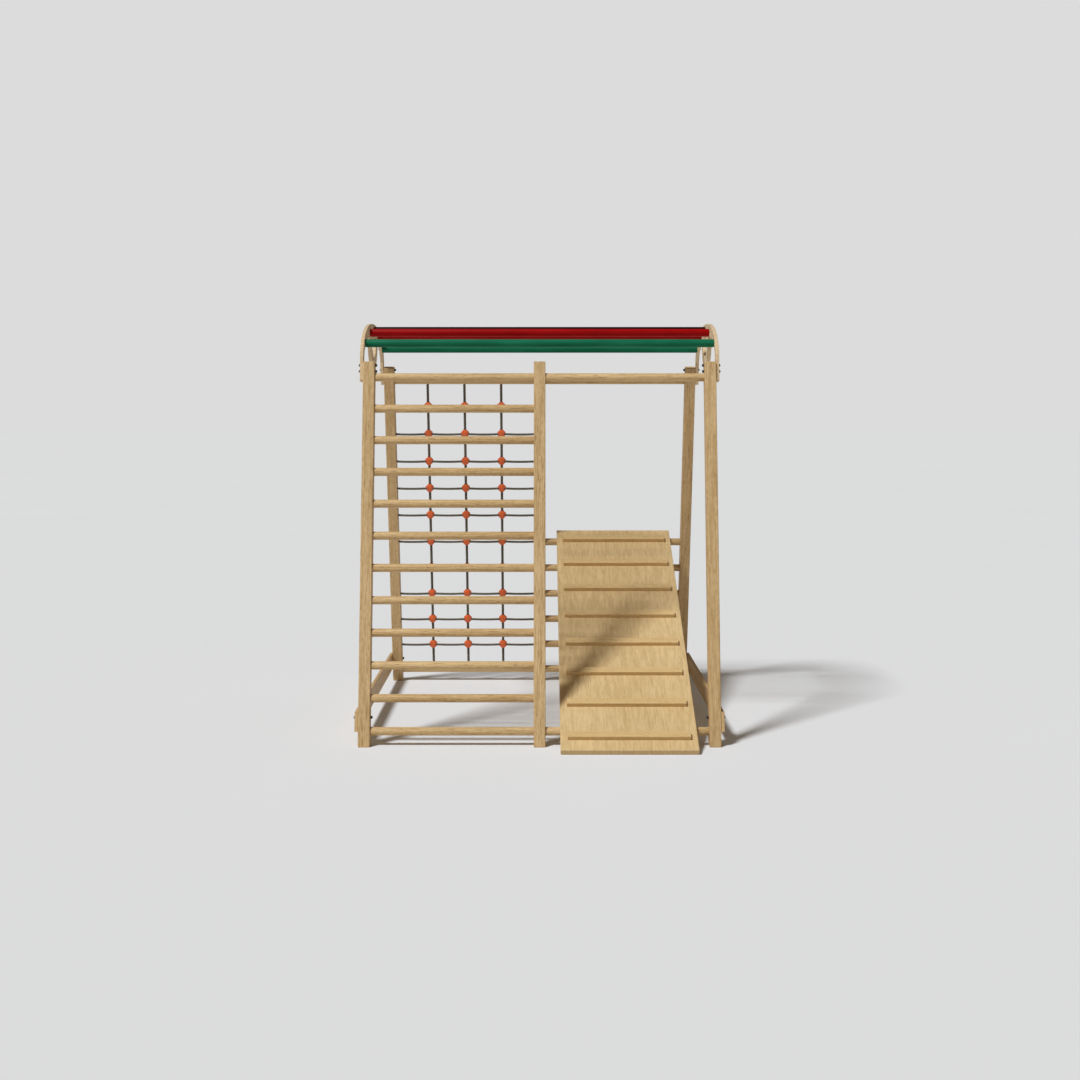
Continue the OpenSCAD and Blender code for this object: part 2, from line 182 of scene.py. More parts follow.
class Shader:
    """One material's node tree while it is being built."""

    def __init__(self, name: str) -> None:
        """Starts an empty material.

        Args:
            name: the material's name.
        """
        self.material = bpy.data.materials.new(name)
        self.material.use_nodes = True
        self.tree = self.material.node_tree
        self.tree.nodes.clear()

    @staticmethod
    def _socket(sockets: Any, key: Union[str, int]) -> bpy.types.NodeSocket:
        """Finds a socket by its place, its name or its identifier.

        Args:
            sockets: a node's inputs or outputs.
            key: the place, name or identifier.

        Returns:
            The first socket in use that matches.
        """
        if isinstance(key, int):
            return sockets[key]
        return next(s for s in sockets if s.enabled and key in (s.name, s.identifier))

    def node(self, kind: str, values: Optional[dict] = None, result: Union[str, int] = 0,
             stops: Sequence[tuple[float, Colour]] = (), **settings: Any) -> Wire:
        """Adds a node of any kind, sets it up and feeds it.

        Args:
            kind: the node's type.
            values: socket to number, colour or Wire.
            result: the output that is wanted.
            stops: a colour ramp's places and colours.
            settings: the node's own properties, which are set first.

        Returns:
            The wanted output.
        """
        made = self.tree.nodes.new(kind)
        for name, value in settings.items():
            setattr(made, name, value)
        if stops:
            self._set_stops(made.color_ramp, stops)
        for key, value in (values or {}).items():
            socket = self._socket(made.inputs, key)
            if isinstance(value, Wire):
                self.tree.links.new(value.socket, socket)
            elif isinstance(value, tuple) and socket.type == "RGBA":
                socket.default_value = (*value, 1.0)
            else:
                socket.default_value = value
        return Wire(self, self._socket(made.outputs, result))

    @staticmethod
    def _set_stops(ramp: bpy.types.ColorRamp, stops: Sequence[tuple[float, Colour]]) -> None:
        """Gives a colour ramp its stops.

        Args:
            ramp: the ramp.
            stops: places and colours, in order.
        """
        while len(ramp.elements) < len(stops):
            ramp.elements.new(1.0)
        for element, (place, colour) in zip(ramp.elements, stops):
            element.position = place
            element.color = (*colour, 1.0)

    def grain(self) -> Wire:
        """The piece's own coordinates, in metres, with its grain along Z."""
        return self.node("ShaderNodeAttribute", result="Vector", attribute_name=GRAIN)

    def axis(self, vector: Wire, name: str) -> Wire:
        """One coordinate of a vector.

        Args:
            vector: the vector.
            name: X, Y or Z.

        Returns:
            That coordinate.
        """
        return self.node("ShaderNodeSeparateXYZ", {"Vector": vector}, result=name)

    def scaled(self, vector: Wire, scale: Scale) -> Wire:
        """A vector with each coordinate multiplied.

        Args:
            vector: the vector.
            scale: the three factors.

        Returns:
            The product.
        """
        return self.node("ShaderNodeVectorMath", {0: vector, 1: scale}, operation="MULTIPLY")

    def noise(self, vector: Wire, scale: Scale, detail: float = 2.0,
              warp: float = 0.0) -> Wire:
        """Noise that is finer along some directions than along others.

        Args:
            vector: coordinates in metres.
            scale: blobs per metre along each of them.
            detail: octaves of finer noise.
            warp: how much the noise bends itself.

        Returns:
            The noise, about 0 to 1 and mostly near 0.5.
        """
        return self.node("ShaderNodeTexNoise",
                         {"Vector": self.scaled(vector, scale), "Scale": 1.0, "Detail": detail,
                          "Distortion": warp},
                         result="Fac")

    def mix(self, share: Union[Wire, Number], first: Union[Wire, Colour],
            second: Union[Wire, Colour]) -> Wire:
        """Mixes two colours.

        Args:
            share: 0 for the first, 1 for the second.
            first: the first colour.
            second: the second colour.

        Returns:
            The mixed colour.
        """
        return self.node("ShaderNodeMix",
                         {"Factor_Float": share, "A_Color": first, "B_Color": second},
                         result="Result_Color", data_type="RGBA")

    def bump(self, height: Wire, depth: float, strength: float) -> Wire:
        """A surface relief.

        Args:
            height: 0 to 1.
            depth: the height of 1, in metres.
            strength: how much of the relief shows.

        Returns:
            The bent normal.
        """
        return self.node("ShaderNodeBump",
                         {"Height": height, "Distance": depth, "Strength": strength},
                         result="Normal")

    def finish(self, **sockets: Union[Wire, Number, Colour]) -> bpy.types.Material:
        """Closes the material with a Principled BSDF.

        Args:
            sockets: the shader's inputs, with _ for a space in their names.

        Returns:
            The material.
        """
        values = {name.replace("_", " "): value for name, value in sockets.items()}
        surface = self.node("ShaderNodeBsdfPrincipled", values, result="BSDF")
        out = self.tree.nodes.new("ShaderNodeOutputMaterial")
        self.tree.links.new(surface.socket, out.inputs["Surface"])
        return self.material


# Finishes -------------------------------------------------------------------------------------


@dataclass(frozen=True)
class WoodFinish:
    """Clear-lacquered wood with growth rings, streaks, fibres and pores."""

    name: str
    pale: Colour
    deep: Colour
    pore: Colour
    ring_gap: float = 0.006        # distance between growth rings
    ring_share: float = 0.22       # how strongly the rings colour the wood
    ring_bend: float = 5.0         # how far noise pushes the rings about, in rings
    bends: Scale = (9.0, 9.0, 1.6)
    late_rise: Range = (0.35, 0.92)     # where a ring darkens, as a share of its width
    late_fall: Range = (0.93, 1.0)      # where it ends
    streak_share: float = 0.5
    streaks: Scale = (330.0, 330.0, 9.0)
    streak_warp: float = 0.35
    streak_range: Range = (0.32, 0.7)
    fibre_share: float = 0.16
    fibres: Scale = (1100.0, 1100.0, 26.0)
    mottle_share: float = 0.3      # short flecks and blotches
    mottles: Scale = (170.0, 170.0, 60.0)
    mottle_range: Range = (0.3, 0.7)
    pore_share: float = 0.5
    pores: Scale = (360.0, 360.0, 30.0)
    pore_range: Range = (0.59, 0.72)
    tone_share: float = 0.25       # how far one piece's tone may lie from the next one's
    tones: Scale = (4.0, 4.0, 0.9)
    tone_range: Range = (0.25, 0.75)
    roughness: float = 0.48
    fibre_roughness: float = 0.22
    pore_roughness: float = 0.1
    relief_depth: float = 0.00022
    relief_strength: float = 0.55
    specular: float = 0.16
    coat: float = 0.03
    coat_roughness: float = 0.35
    plies: int = 0                 # layers of plywood across X, or 0 for solid wood
    thickness: float = 0.012       # of the plywood
    ply_reach: float = 0.998       # keeps the outer faces inside the outer layers
    ply_share: float = 0.3
    ply_fuzz: float = 0.5          # how much an open end grain adds to that share
    ply_ends: Scale = (500.0, 60.0, 500.0)

    def material(self) -> bpy.types.Material:
        """Builds the material.

        Returns:
            The wood.
        """
        shader = Shader(self.name)
        grain = shader.grain()
        bend = shader.noise(grain, self.bends)
        across = shader.node("ShaderNodeVectorMath", {0: shader.scaled(grain, (1.0, 1.0, 0.0))},
                             result="Value", operation="LENGTH")
        ring = (across / self.ring_gap + bend * self.ring_bend) % 1.0
        late = ring.between(*self.late_rise) - ring.between(*self.late_fall)
        streak = shader.noise(grain, self.streaks, detail=4.0, warp=self.streak_warp)
        fibre = shader.noise(grain, self.fibres)
        pore = shader.noise(grain, self.pores).between(*self.pore_range)
        mottle = shader.noise(grain, self.mottles, detail=3.0).between(*self.mottle_range)
        tone = shader.noise(grain, self.tones, detail=1.0).between(*self.tone_range)
        share = (late * self.ring_share
                 + streak.between(*self.streak_range) * self.streak_share
                 + fibre * self.fibre_share
                 + (mottle - 0.5) * self.mottle_share + (tone - 0.5) * self.tone_share)
        colour = shader.mix(share, self.pale, self.deep)
        colour = shader.mix(pore * self.pore_share, colour, self.pore)
        relief = fibre * 0.5 + late * 0.3 - pore * 0.6
        if self.plies:
            colour = self._plies(shader, grain, colour)
        rough = (self.roughness + (fibre - 0.5) * self.fibre_roughness
                 + pore * self.pore_roughness)
        return shader.finish(
            Base_Color=colour, Roughness=rough,
            Normal=shader.bump(relief, self.relief_depth, self.relief_strength),
            Specular_IOR_Level=self.specular, Coat_Weight=self.coat,
            Coat_Roughness=self.coat_roughness)

    def _plies(self, shader: Shader, grain: Wire, colour: Wire) -> Wire:
        """Darkens every second layer, which shows on the edges only.

        Args:
            shader: the material.
            grain: its coordinates, whose X runs through the plywood from its middle.
            colour: the face's colour.

        Returns:
            The colour with its layers.
        """
        depth = shader.axis(grain, "X") * (self.ply_reach / self.thickness) + 0.5
        layer = (depth * float(self.plies)).floor() % 2.0
        end = shader.noise(grain, self.ply_ends)
        return shader.mix(layer * (self.ply_share + end * self.ply_fuzz), colour, self.deep)


@dataclass(frozen=True)
class PaintFinish:
    """Satin paint on a turned bar, with the wood's grain just showing."""

    name: str
    colour: Colour
    shade: Colour
    brushes: Scale = (420.0, 420.0, 9.0)
    brush_share: float = 0.5
    brush_roughness: float = 0.2
    clouds: Scale = (30.0, 30.0, 7.0)
    cloud_range: Range = (0.3, 0.7)
    cloud_share: float = 0.6
    cloud_roughness: float = 0.05
    peels: Scale = (700.0, 700.0, 700.0)
    roughness: float = 0.42
    relief_depth: float = 0.00016
    relief_strength: float = 0.5
    specular: float = 0.06

    def material(self) -> bpy.types.Material:
        """Builds the material.

        Returns:
            The paint.
        """
        shader = Shader(self.name)
        grain = shader.grain()
        brush = shader.noise(grain, self.brushes, detail=3.0)
        cloud = shader.noise(grain, self.clouds).between(*self.cloud_range)
        peel = shader.noise(grain, self.peels, detail=1.0)
        share = cloud * self.cloud_share + (brush - 0.5) * self.brush_share
        rough = (self.roughness + (brush - 0.5) * self.brush_roughness
                 + cloud * self.cloud_roughness)
        relief = brush * 0.7 + peel * 0.3
        return shader.finish(
            Base_Color=shader.mix(share, self.colour, self.shade), Roughness=rough,
            Normal=shader.bump(relief, self.relief_depth, self.relief_strength),
            Specular_IOR_Level=self.specular)


@dataclass(frozen=True)
class RopeFinish:
    """Twisted fibres with painted shade in the grooves between the threads: the grain attribute's Z runs along a
    strand and X goes round it.
    """

    name: str
    colour: Colour
    shade: Colour
    worn: Colour
    yarns: float = 9.0             # threads round a strand
    yarn_turns: float = 260.0      # turns of the threads in a metre
    # how far painted shade darkens the grooves between the threads
    groove_shade_share: float = 0.55
    fuzzes: Scale = (6.0, 6.0, 900.0)
    fuzz_share: float = 0.5
    clouds: Scale = (1.0, 1.0, 14.0)
    cloud_range: Range = (0.3, 0.7)
    worn_share: float = 0.7
    roughness: float = 0.78
    fuzz_roughness: float = 0.15
    relief_depth: float = 0.0004
    relief_strength: float = 0.8
    specular: float = 0.3
    sheen: float = 0.25
    sheen_roughness: float = 0.5

    def material(self) -> bpy.types.Material:
        """Builds the material.

        Returns:
            The rope.
        """
        shader = Shader(self.name)
        grain = shader.grain()
        yarn = shader.axis(grain, "X") * self.yarns + shader.axis(grain, "Z") * self.yarn_turns
        # The threads' crests give the relief, and the grooves between them get painted shade in the colour.
        thread_relief_and_groove_shade = (yarn * FULL_TURN).sine() * 0.5 + 0.5
        fuzz = shader.noise(grain, self.fuzzes, detail=3.0)
        cloud = shader.noise(grain, self.clouds).between(*self.cloud_range)
        share = thread_relief_and_groove_shade * self.groove_shade_share + (fuzz - 0.5) * self.fuzz_share
        colour = shader.mix(share, self.shade, self.colour)
        colour = shader.mix(cloud * fuzz * self.worn_share, colour, self.worn)
        relief = thread_relief_and_groove_shade * 0.7 + fuzz * 0.3
        return shader.finish(
            Base_Color=colour, Roughness=self.roughness + fuzz * self.fuzz_roughness,
            Normal=shader.bump(relief, self.relief_depth, self.relief_strength),
            Specular_IOR_Level=self.specular, Sheen_Weight=self.sheen,
            Sheen_Roughness=self.sheen_roughness)


@dataclass(frozen=True)
class MouldedFinish:
    """Injection-moulded plastic with a fine spark texture."""

    name: str
    colour: Colour
    shade: Colour
    clouds: Scale = (60.0, 60.0, 60.0)
    cloud_range: Range = (0.3, 0.7)
    cloud_share: float = 0.5
    sparks: Scale = (1500.0, 1500.0, 1500.0)
    roughness: float = 0.4
    spark_roughness: float = 0.14
    relief_depth: float = 0.00012
    relief_strength: float = 0.5
    specular: float = 0.5
    coat: float = 0.1
    coat_roughness: float = 0.3

    def material(self) -> bpy.types.Material:
        """Builds the material.

        Returns:
            The plastic.
        """
        shader = Shader(self.name)
        place = shader.node("ShaderNodeTexCoord", result="Object")
        cloud = shader.noise(place, self.clouds).between(*self.cloud_range)
        spark = shader.noise(place, self.sparks, detail=1.0)
        return shader.finish(
            Base_Color=shader.mix(cloud * self.cloud_share, self.colour, self.shade),
            Roughness=self.roughness + spark * self.spark_roughness,
            Normal=shader.bump(spark, self.relief_depth, self.relief_strength),
            Specular_IOR_Level=self.specular, Coat_Weight=self.coat,
            Coat_Roughness=self.coat_roughness)


@dataclass(frozen=True)
class SteelFinish:
    """A coated or plated steel fitting with fine scuffs."""

    name: str
    colour: Colour
    scuff: Colour
    metallic: float
    roughness: float
    clouds: Scale = (220.0, 220.0, 220.0)
    cloud_share: float = 0.3
    cloud_roughness: float = 0.25
    scuffs: Scale = (1400.0, 500.0, 900.0)
    scuff_range: Range = (0.56, 0.7)
    scuff_share: float = 0.6
    relief_depth: float = 0.00008
    relief_strength: float = 0.4

    def material(self) -> bpy.types.Material:
        """Builds the material.

        Returns:
            The steel.
        """
        shader = Shader(self.name)
        place = shader.node("ShaderNodeTexCoord", result="Object")
        cloud = shader.noise(place, self.clouds, detail=3.0)
        mark = shader.noise(place, self.scuffs, detail=3.0).between(*self.scuff_range)
        share = mark * self.scuff_share + (cloud - 0.5) * self.cloud_share
        return shader.finish(
            Base_Color=shader.mix(share, self.colour, self.scuff), Metallic=self.metallic,
            Roughness=self.roughness + (cloud - 0.5) * self.cloud_roughness,
            Normal=shader.bump(mark, self.relief_depth, self.relief_strength))


class Finish(Enum):
    """Every finish on the object."""

    POST = WoodFinish("post_pine", pale=(0.67, 0.475, 0.245), deep=(0.4, 0.238, 0.092),
                      pore=(0.22, 0.115, 0.042), pore_share=0.62)
    RUNG = WoodFinish("rung_beech", pale=(0.7, 0.495, 0.25), deep=(0.41, 0.24, 0.09),
                      pore=(0.2, 0.1, 0.036), ring_gap=0.009, tone_share=0.4,
                      pore_share=0.68)
    ARCH = WoodFinish("arch_plywood", pale=(0.84, 0.68, 0.45), deep=(0.58, 0.4, 0.21),
                      pore=(0.33, 0.2, 0.09), ring_gap=0.02, plies=7, thickness=0.012)
    RAIL = WoodFinish("rail_plywood", pale=(0.7, 0.5, 0.265), deep=(0.46, 0.28, 0.118),
                      pore=(0.28, 0.15, 0.06), ring_gap=0.02, plies=7, thickness=0.012)
    BOARD = WoodFinish("ramp_wood", pale=(0.725, 0.53, 0.272), deep=(0.51, 0.335, 0.145),
                       pore=(0.36, 0.21, 0.08), ring_gap=0.05, ring_share=0.12,
                       streaks=(150.0, 150.0, 11.0), streak_share=0.42, tone_share=0.3,
                       mottle_share=0.26, mottles=(70.0, 70.0, 24.0),
                       plies=11, thickness=0.018)
    CLEAT = WoodFinish("cleat_beech", pale=(0.71, 0.505, 0.245), deep=(0.51, 0.32, 0.125),
                       pore=(0.36, 0.21, 0.08), ring_gap=0.012, ring_share=0.12,
                       streak_share=0.34, tone_share=0.1)
    HOOK = WoodFinish("hook_plywood", pale=(0.7, 0.53, 0.31), deep=(0.45, 0.28, 0.13),
                      pore=(0.3, 0.17, 0.08), ring_gap=0.02, plies=11, thickness=0.018)
    GREEN = PaintFinish("bar_green", (0.012, 0.165, 0.085), (0.004, 0.1, 0.046))
    RED = PaintFinish("bar_red", (0.37, 0.004, 0.004), (0.25, 0.001, 0.001))
    BLACK_PAINT = PaintFinish("bar_black", (0.014, 0.002, 0.003), (0.024, 0.004, 0.005))
    ROPE = RopeFinish("net_rope", (0.165, 0.138, 0.09), (0.08, 0.064, 0.04), (0.27, 0.235, 0.168))
    CONNECTOR = MouldedFinish("net_plastic", (0.8, 0.14, 0.026), (0.68, 0.095, 0.018))
    BLACK_STEEL = SteelFinish("black_steel", (0.012, 0.012, 0.013), (0.045, 0.045, 0.046),
                              metallic=0.0, roughness=0.42)
    ZINC = SteelFinish("zinc_steel", (0.56, 0.56, 0.54), (0.72, 0.72, 0.7),
                       metallic=1.0, roughness=0.34)


MATERIALS: dict[Finish, bpy.types.Material] = {}


def material_of(finish: Finish) -> bpy.types.Material:
    """The finish's material, built the first time it is asked for.

    Args:
        finish: the finish.

    Returns:
        Its material.
    """
    if finish not in MATERIALS:
        MATERIALS[finish] = finish.value.material()
    return MATERIALS[finish]


# Modelling ------------------------------------------------------------------------------------

# Turns an outline drawn flat in x and y up into y and z.
STAND_UP = Matrix(((0, 0, 1, 0), (1, 0, 0, 0), (0, 1, 0, 0), (0, 0, 0, 1)))
# Turns a rod along Z to lie along X.
TO_X = Matrix.Rotation(math.pi / 2, 4, "Y")


def deselect_all() -> None:
    """Selects nothing, in object mode."""
    if bpy.context.object and bpy.context.object.mode != "OBJECT":
        bpy.ops.object.mode_set(mode="OBJECT")
    bpy.ops.object.select_all(action="DESELECT")


def take_up(piece: bpy.types.Object) -> None:
    """Makes a piece the only one selected, and the active one.

    Args:
        piece: the piece.
    """
    deselect_all()
    piece.select_set(True)
    bpy.context.view_layer.objects.active = piece


def add_board(name: str, low: Vector, high: Vector) -> bpy.types.Object:
    """A block between two corners.

    Args:
        name: the piece's name.
        low: its lowest corner.
        high: its highest corner.

    Returns:
        The block, with its size in its mesh.
    """
    deselect_all()
    bpy.ops.mesh.primitive_cube_add(size=1.0, location=(low + high) / 2, scale=high - low)
    piece = bpy.context.object
    piece.name = piece.data.name = name
    bpy.ops.object.transform_apply(location=True, rotation=True, scale=True)
    return piece


def add_rod(name: str, diameter: float, length: float, sides: int) -> bpy.types.Object:
    """A round rod that stands on the origin, along Z.

    Args:
        name: the piece's name.
        diameter: its diameter.
        length: its length.
        sides: the flats round it.

    Returns:
        The rod.
    """
    deselect_all()
    bpy.ops.mesh.primitive_cylinder_add(vertices=sides, radius=diameter / 2, depth=length,
                                        location=(0.0, 0.0, length / 2))
    piece = bpy.context.object
    piece.name = piece.data.name = name
    bpy.ops.object.transform_apply(location=True, rotation=True, scale=True)
    return piece


def add_plate(name: str, outlines: Sequence[Sequence[Point2]], thickness: float,
              rounding: float) -> bpy.types.Object:
    """A flat plate with rounded edges, cut to closed outlines in the yz plane.

    Args:
        name: the piece's name.
        outlines: the outer outline, then any holes, as (y, z) points.
        thickness: its thickness, along X from -thickness / 2.
        rounding: the radius of its edges.

    Returns:
        The plate.
    """
    curve = bpy.data.curves.new(name, "CURVE")
    curve.dimensions = "2D"
    curve.fill_mode = "BOTH"
    curve.extrude = thickness / 2 - rounding
    curve.bevel_depth = rounding
    curve.bevel_resolution = 2
    curve.offset = -rounding
    for outline in outlines:
        spline = curve.splines.new("POLY")
        spline.points.add(len(outline) - 1)
        for point, (y, z) in zip(spline.points, outline):
            point.co = (y, z, 0.0, 1.0)
        spline.use_cyclic_u = True
    piece = bpy.data.objects.new(name, curve)
    bpy.context.scene.collection.objects.link(piece)
    take_up(piece)
    bpy.ops.object.convert(target="MESH")
    piece = bpy.context.object
    piece.data.name = name
    weld(piece, gap=0.00002)
    move(piece, STAND_UP)
    return piece


def push_end(piece: bpy.types.Object, sign: float, narrowing: float, length: float) -> None:
    """Narrows an end face that lies across Z and pulls it out along Z.

    Args:
        piece: the piece.
        sign: 1 for its upper end, -1 for its lower end.
        narrowing: the new face's size as a share of the old one's.
        length: how far it is pulled out; below 0 pushes it in.
    """
    take_up(piece)
    bpy.ops.object.mode_set(mode="EDIT")
    bpy.ops.mesh.select_all(action="DESELECT")
    bpy.ops.object.mode_set(mode="OBJECT")
    end = max(piece.data.polygons, key=lambda face: (face.center.z * sign, face.area))
    end.select = True
    centre = end.center.copy()
    bpy.ops.object.mode_set(mode="EDIT")
    bpy.ops.mesh.select_mode(type="FACE")
    bpy.ops.mesh.extrude_region_move(TRANSFORM_OT_translate={"value": (0.0, 0.0, 0.0)})
    bpy.ops.transform.resize(value=(narrowing, narrowing, 1.0), center_override=centre)
    if length:
        bpy.ops.mesh.extrude_region_move(
            TRANSFORM_OT_translate={"value": (0.0, 0.0, sign * length)})
    bpy.ops.object.mode_set(mode="OBJECT")


def weld(piece: bpy.types.Object, gap: float = 0.00001) -> None:
    """Merges doubles and turns every face outwards.

    Args:
        piece: the piece.
        gap: how far apart points that become one may lie.
    """
    take_up(piece)
    bpy.ops.object.mode_set(mode="EDIT")
    bpy.ops.mesh.select_all(action="SELECT")
    bpy.ops.mesh.remove_doubles(threshold=gap)
    bpy.ops.mesh.normals_make_consistent(inside=False)
    bpy.ops.object.mode_set(mode="OBJECT")


def apply_modifier(piece: bpy.types.Object, kind: str, **settings: Any) -> None:
    """Adds one modifier and applies it.

    Args:
        piece: the piece.
        kind: the modifier's type.
        settings: its properties.
    """
    take_up(piece)
    modifier = piece.modifiers.new(kind.lower(), kind)
    for name, value in settings.items():
        setattr(modifier, name, value)
    bpy.ops.object.modifier_apply(modifier=modifier.name)


def round_edges(piece: bpy.types.Object, radius: float, segments: int = 3,
                angle: float = 40.0) -> None:
    """Rounds every edge that is sharper than an angle.

    Args:
        piece: the piece.
        radius: the rounding.
        segments: the flats across it.
        angle: the least angle, in degrees.
    """
    apply_modifier(piece, "BEVEL", width=radius, segments=segments, limit_method="ANGLE",
                   angle_limit=math.radians(angle), use_clamp_overlap=True)


def cut_away(piece: bpy.types.Object, cutters: Sequence[bpy.types.Object]) -> None:
    """Cuts other bodies out of a piece and throws them away.

    Args:
        piece: the piece.
        cutters: what is cut out of it.
    """
    if not cutters:
        return
    cutter = join("cutter", cutters)
    apply_modifier(piece, "BOOLEAN", operation="DIFFERENCE", solver="EXACT", object=cutter)
    bpy.data.meshes.remove(cutter.data)


def join(name: str, parts: Sequence[bpy.types.Object]) -> bpy.types.Object:
    """Joins parts into one object.

    Args:
        name: its name.
        parts: the parts, which are used up.

    Returns:
        The joined object.
    """
    deselect_all()
    for part in parts:
        part.select_set(True)
    bpy.context.view_layer.objects.active = parts[0]
    if len(parts) > 1:
        bpy.ops.object.join()
    whole = bpy.context.object
    whole.name = whole.data.name = name
    return whole


def copy_of(piece: bpy.types.Object, name: str, place: Matrix) -> bpy.types.Object:
    """A copy with its own mesh, moved to a new place.

    Args:
        piece: the model.
        name: the copy's name.
        place: where it goes.

    Returns:
        The copy.
    """
    twin = piece.copy()
    twin.data = piece.data.copy()
    twin.name = twin.data.name = name
    bpy.context.scene.collection.objects.link(twin)
    twin.data.transform(place)
    return twin


def move(piece: bpy.types.Object, place: Matrix) -> None:
    """Moves a piece's mesh and leaves its object at the origin.

    Args:
        piece: the piece.
        place: where its mesh goes.
    """
    piece.data.transform(place)
    piece.data.update()


def lay_grain(piece: bpy.types.Object, along: Along, seed: str, spread: float = 0.09) -> None:
    """Writes the coordinates that the wood is figured by, each piece's cut from its own tree.

    Args:
        piece: the piece, in its own frame.
        along: the direction of its grain there.
        seed: a name that settles where in the tree it was cut.
        spread: how far from the heart it may have been cut.
    """
    dice = random.Random(seed)
    turn = dice.uniform(0.0, FULL_TURN)
    heart = Vector((math.cos(turn), math.sin(turn), 0.0)) * dice.uniform(0.4 * spread, spread)
    start = Vector((heart.x, heart.y, dice.uniform(-LOG_REACH, LOG_REACH)))
    lay_coordinates(piece, [start + turned(v.co, along) for v in piece.data.vertices])


def lay_ply_grain(piece: bpy.types.Object, along: Along, seed: str) -> None:
    """Writes the coordinates of a sheet of plywood, whose X stays the depth in the sheet.

    Args:
        piece: the piece, with its sheet's middle at X = 0 once it is turned.
        along: the direction of its grain.
        seed: a name that settles the figure.
    """
    dice = random.Random(seed)
    start = Vector((0.0, dice.uniform(-SHEET_REACH, SHEET_REACH),
                    dice.uniform(-LOG_REACH, LOG_REACH)))
    lay_coordinates(piece, [start + turned(v.co, along) for v in piece.data.vertices])


def lay_coordinates(piece: bpy.types.Object, places: Sequence[Vector]) -> None:
    """Stores one vector for each point.

    Args:
        piece: the piece.
        places: the vectors, in the order of its points.
    """
    mesh = piece.data
    store = mesh.attributes.get(GRAIN) or mesh.attributes.new(GRAIN, "FLOAT_VECTOR", "POINT")
    store.data.foreach_set("vector", [c for place in places for c in place])


def turned(point: Vector, along: Along) -> Vector:
    """A point with the grain's direction turned to Z.

    Args:
        point: the point.
        along: the grain's direction.

    Returns:
        The point with its coordinates in another order.
    """
    if along is Along.X:
        return Vector((point.z, point.y, point.x))
    if along is Along.Y:
        return Vector((point.x, point.z, point.y))
    return point.copy()


def smooth(piece: bpy.types.Object, crease: float) -> None:
    """Smooths a piece except where it has sharp edges.

    Args:
        piece: the piece.
        crease: edges sharper than this, in degrees, stay sharp.
    """
    take_up(piece)
    bpy.ops.object.shade_smooth_by_angle(angle=math.radians(crease))


def shade(piece: bpy.types.Object, crease: float) -> None:
    """Smooths rounded edges and keeps flat faces flat.

    Args:
        piece: the piece.
        crease: edges sharper than this, in degrees, stay sharp.
    """
    smooth(piece, crease)
    apply_modifier(piece, "WEIGHTED_NORMAL", mode="FACE_AREA", weight=80, keep_sharp=True)


def node_body(node: str) -> str:
    """The body that a node rides on."""
    bodies = frame["record"]["behaviour"]["bodies"]
    return next(body for body, nodes in bodies.items() if node in nodes)


def corners_of(node: str) -> tuple[Vector, Vector]:
    """The lowest and the highest corner of a node's box."""
    low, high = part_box(node)
    return Vector(low), Vector(high)


def middle_of(node: str) -> Vector:
    """The middle of a node's box."""
    low, high = corners_of(node)
    return (low + high) / 2


def hand_over(piece: bpy.types.Object, node: str, finish: Finish) -> None:
    """Puts a finished piece in its node's place.

    Args:
        piece: the piece, in place.
        node: the node that it stands for.
        finish: what it is made of.
    """
    piece.name = piece.data.name = f"{node}_finished"
    piece.data.materials.clear()
    piece.data.materials.append(material_of(finish))
    for face in piece.data.polygons:
        face.material_index = 0
    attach(piece, node_body(node))
    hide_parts(node)
    low, high = corners_of(node)
    log.info("%s: %d faces, rides on %s, box %.3f m from corner to corner", piece.name,
             len(piece.data.polygons), node_body(node), (high - low).length)


# The frame's own geometry ---------------------------------------------------------------------


@dataclass(frozen=True)
class Skeleton:
    """What every sub-assembly is placed by: the leaning faces and the middle between them."""

    lean: float = math.radians(12.0)
    post: float = 0.040            # the side of a post

    @property
    def middle(self) -> float:
        """The y of the plane between the two ladder frames."""
        return (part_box("post_front_left")[0][1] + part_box("post_back_left")[1][1]) / 2

    @property
    def half_depth(self) -> float:
        """From that plane to the outer edge of a foot."""
        return (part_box("post_back_left")[1][1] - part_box("post_front_left")[0][1]) / 2

    @property
    def post_top(self) -> float:
        """The height of the posts' outer top edges."""
        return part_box("post_front_left")[1][2]

    def point(self, face: Face, along: float, deep: float) -> Point2:
        """A point on a ladder frame.

        Args:
            face: which frame.
            along: distance up a post's outer face.
            deep: distance in from that face.

        Returns:
            Its y and z.
        """
        out = self.half_depth - along * math.sin(self.lean) - deep * math.cos(self.lean)
        return (self.middle + face.value * out,
                along * math.cos(self.lean) - deep * math.sin(self.lean))

    def stand(self, face: Face, x: float) -> Matrix:
        """Where a post's own frame goes: Z up its outer face, Y across its depth.

        Args:
            face: which frame.
            x: the post's middle.

        Returns:
            The placing matrix.
        """
        foot = Vector((x, self.middle + face.value * self.half_depth, 0.0))
        return Matrix.Translation(foot) @ Matrix.Rotation(face.value * self.lean, 4, "X")


SKELETON = Skeleton()


def rod_between(name: str, diameter: float, start: Vector, end: Vector,
                sides: int) -> bpy.types.Object:
    """A rod along X between two points.

    Args:
        name: the piece's name.
        diameter: its diameter.
        start: its left end.
        end: its right end.
        sides: the flats round it.

    Returns:
        The rod, in place.
    """
    rod = add_rod(name, diameter, (end - start).length, sides)
    move(rod, Matrix.Translation(start) @ TO_X)
    return rod


def turned_rod(name: str, diameter: float, length: float, rounding: float) -> bpy.types.Object:
    """A rod with softened ends, along Z from the origin.

    Args:
        name: the piece's name.
        diameter: its diameter.
        length: its length.
        rounding: the rounding of its ends.

    Returns:
        The rod, smooth and ready to copy.
    """
    rod = add_rod(name, diameter, length, BAR_SIDES)
    round_edges(rod, rounding, angle=60.0)
    smooth(rod, ROUND_CREASE)
    return rod


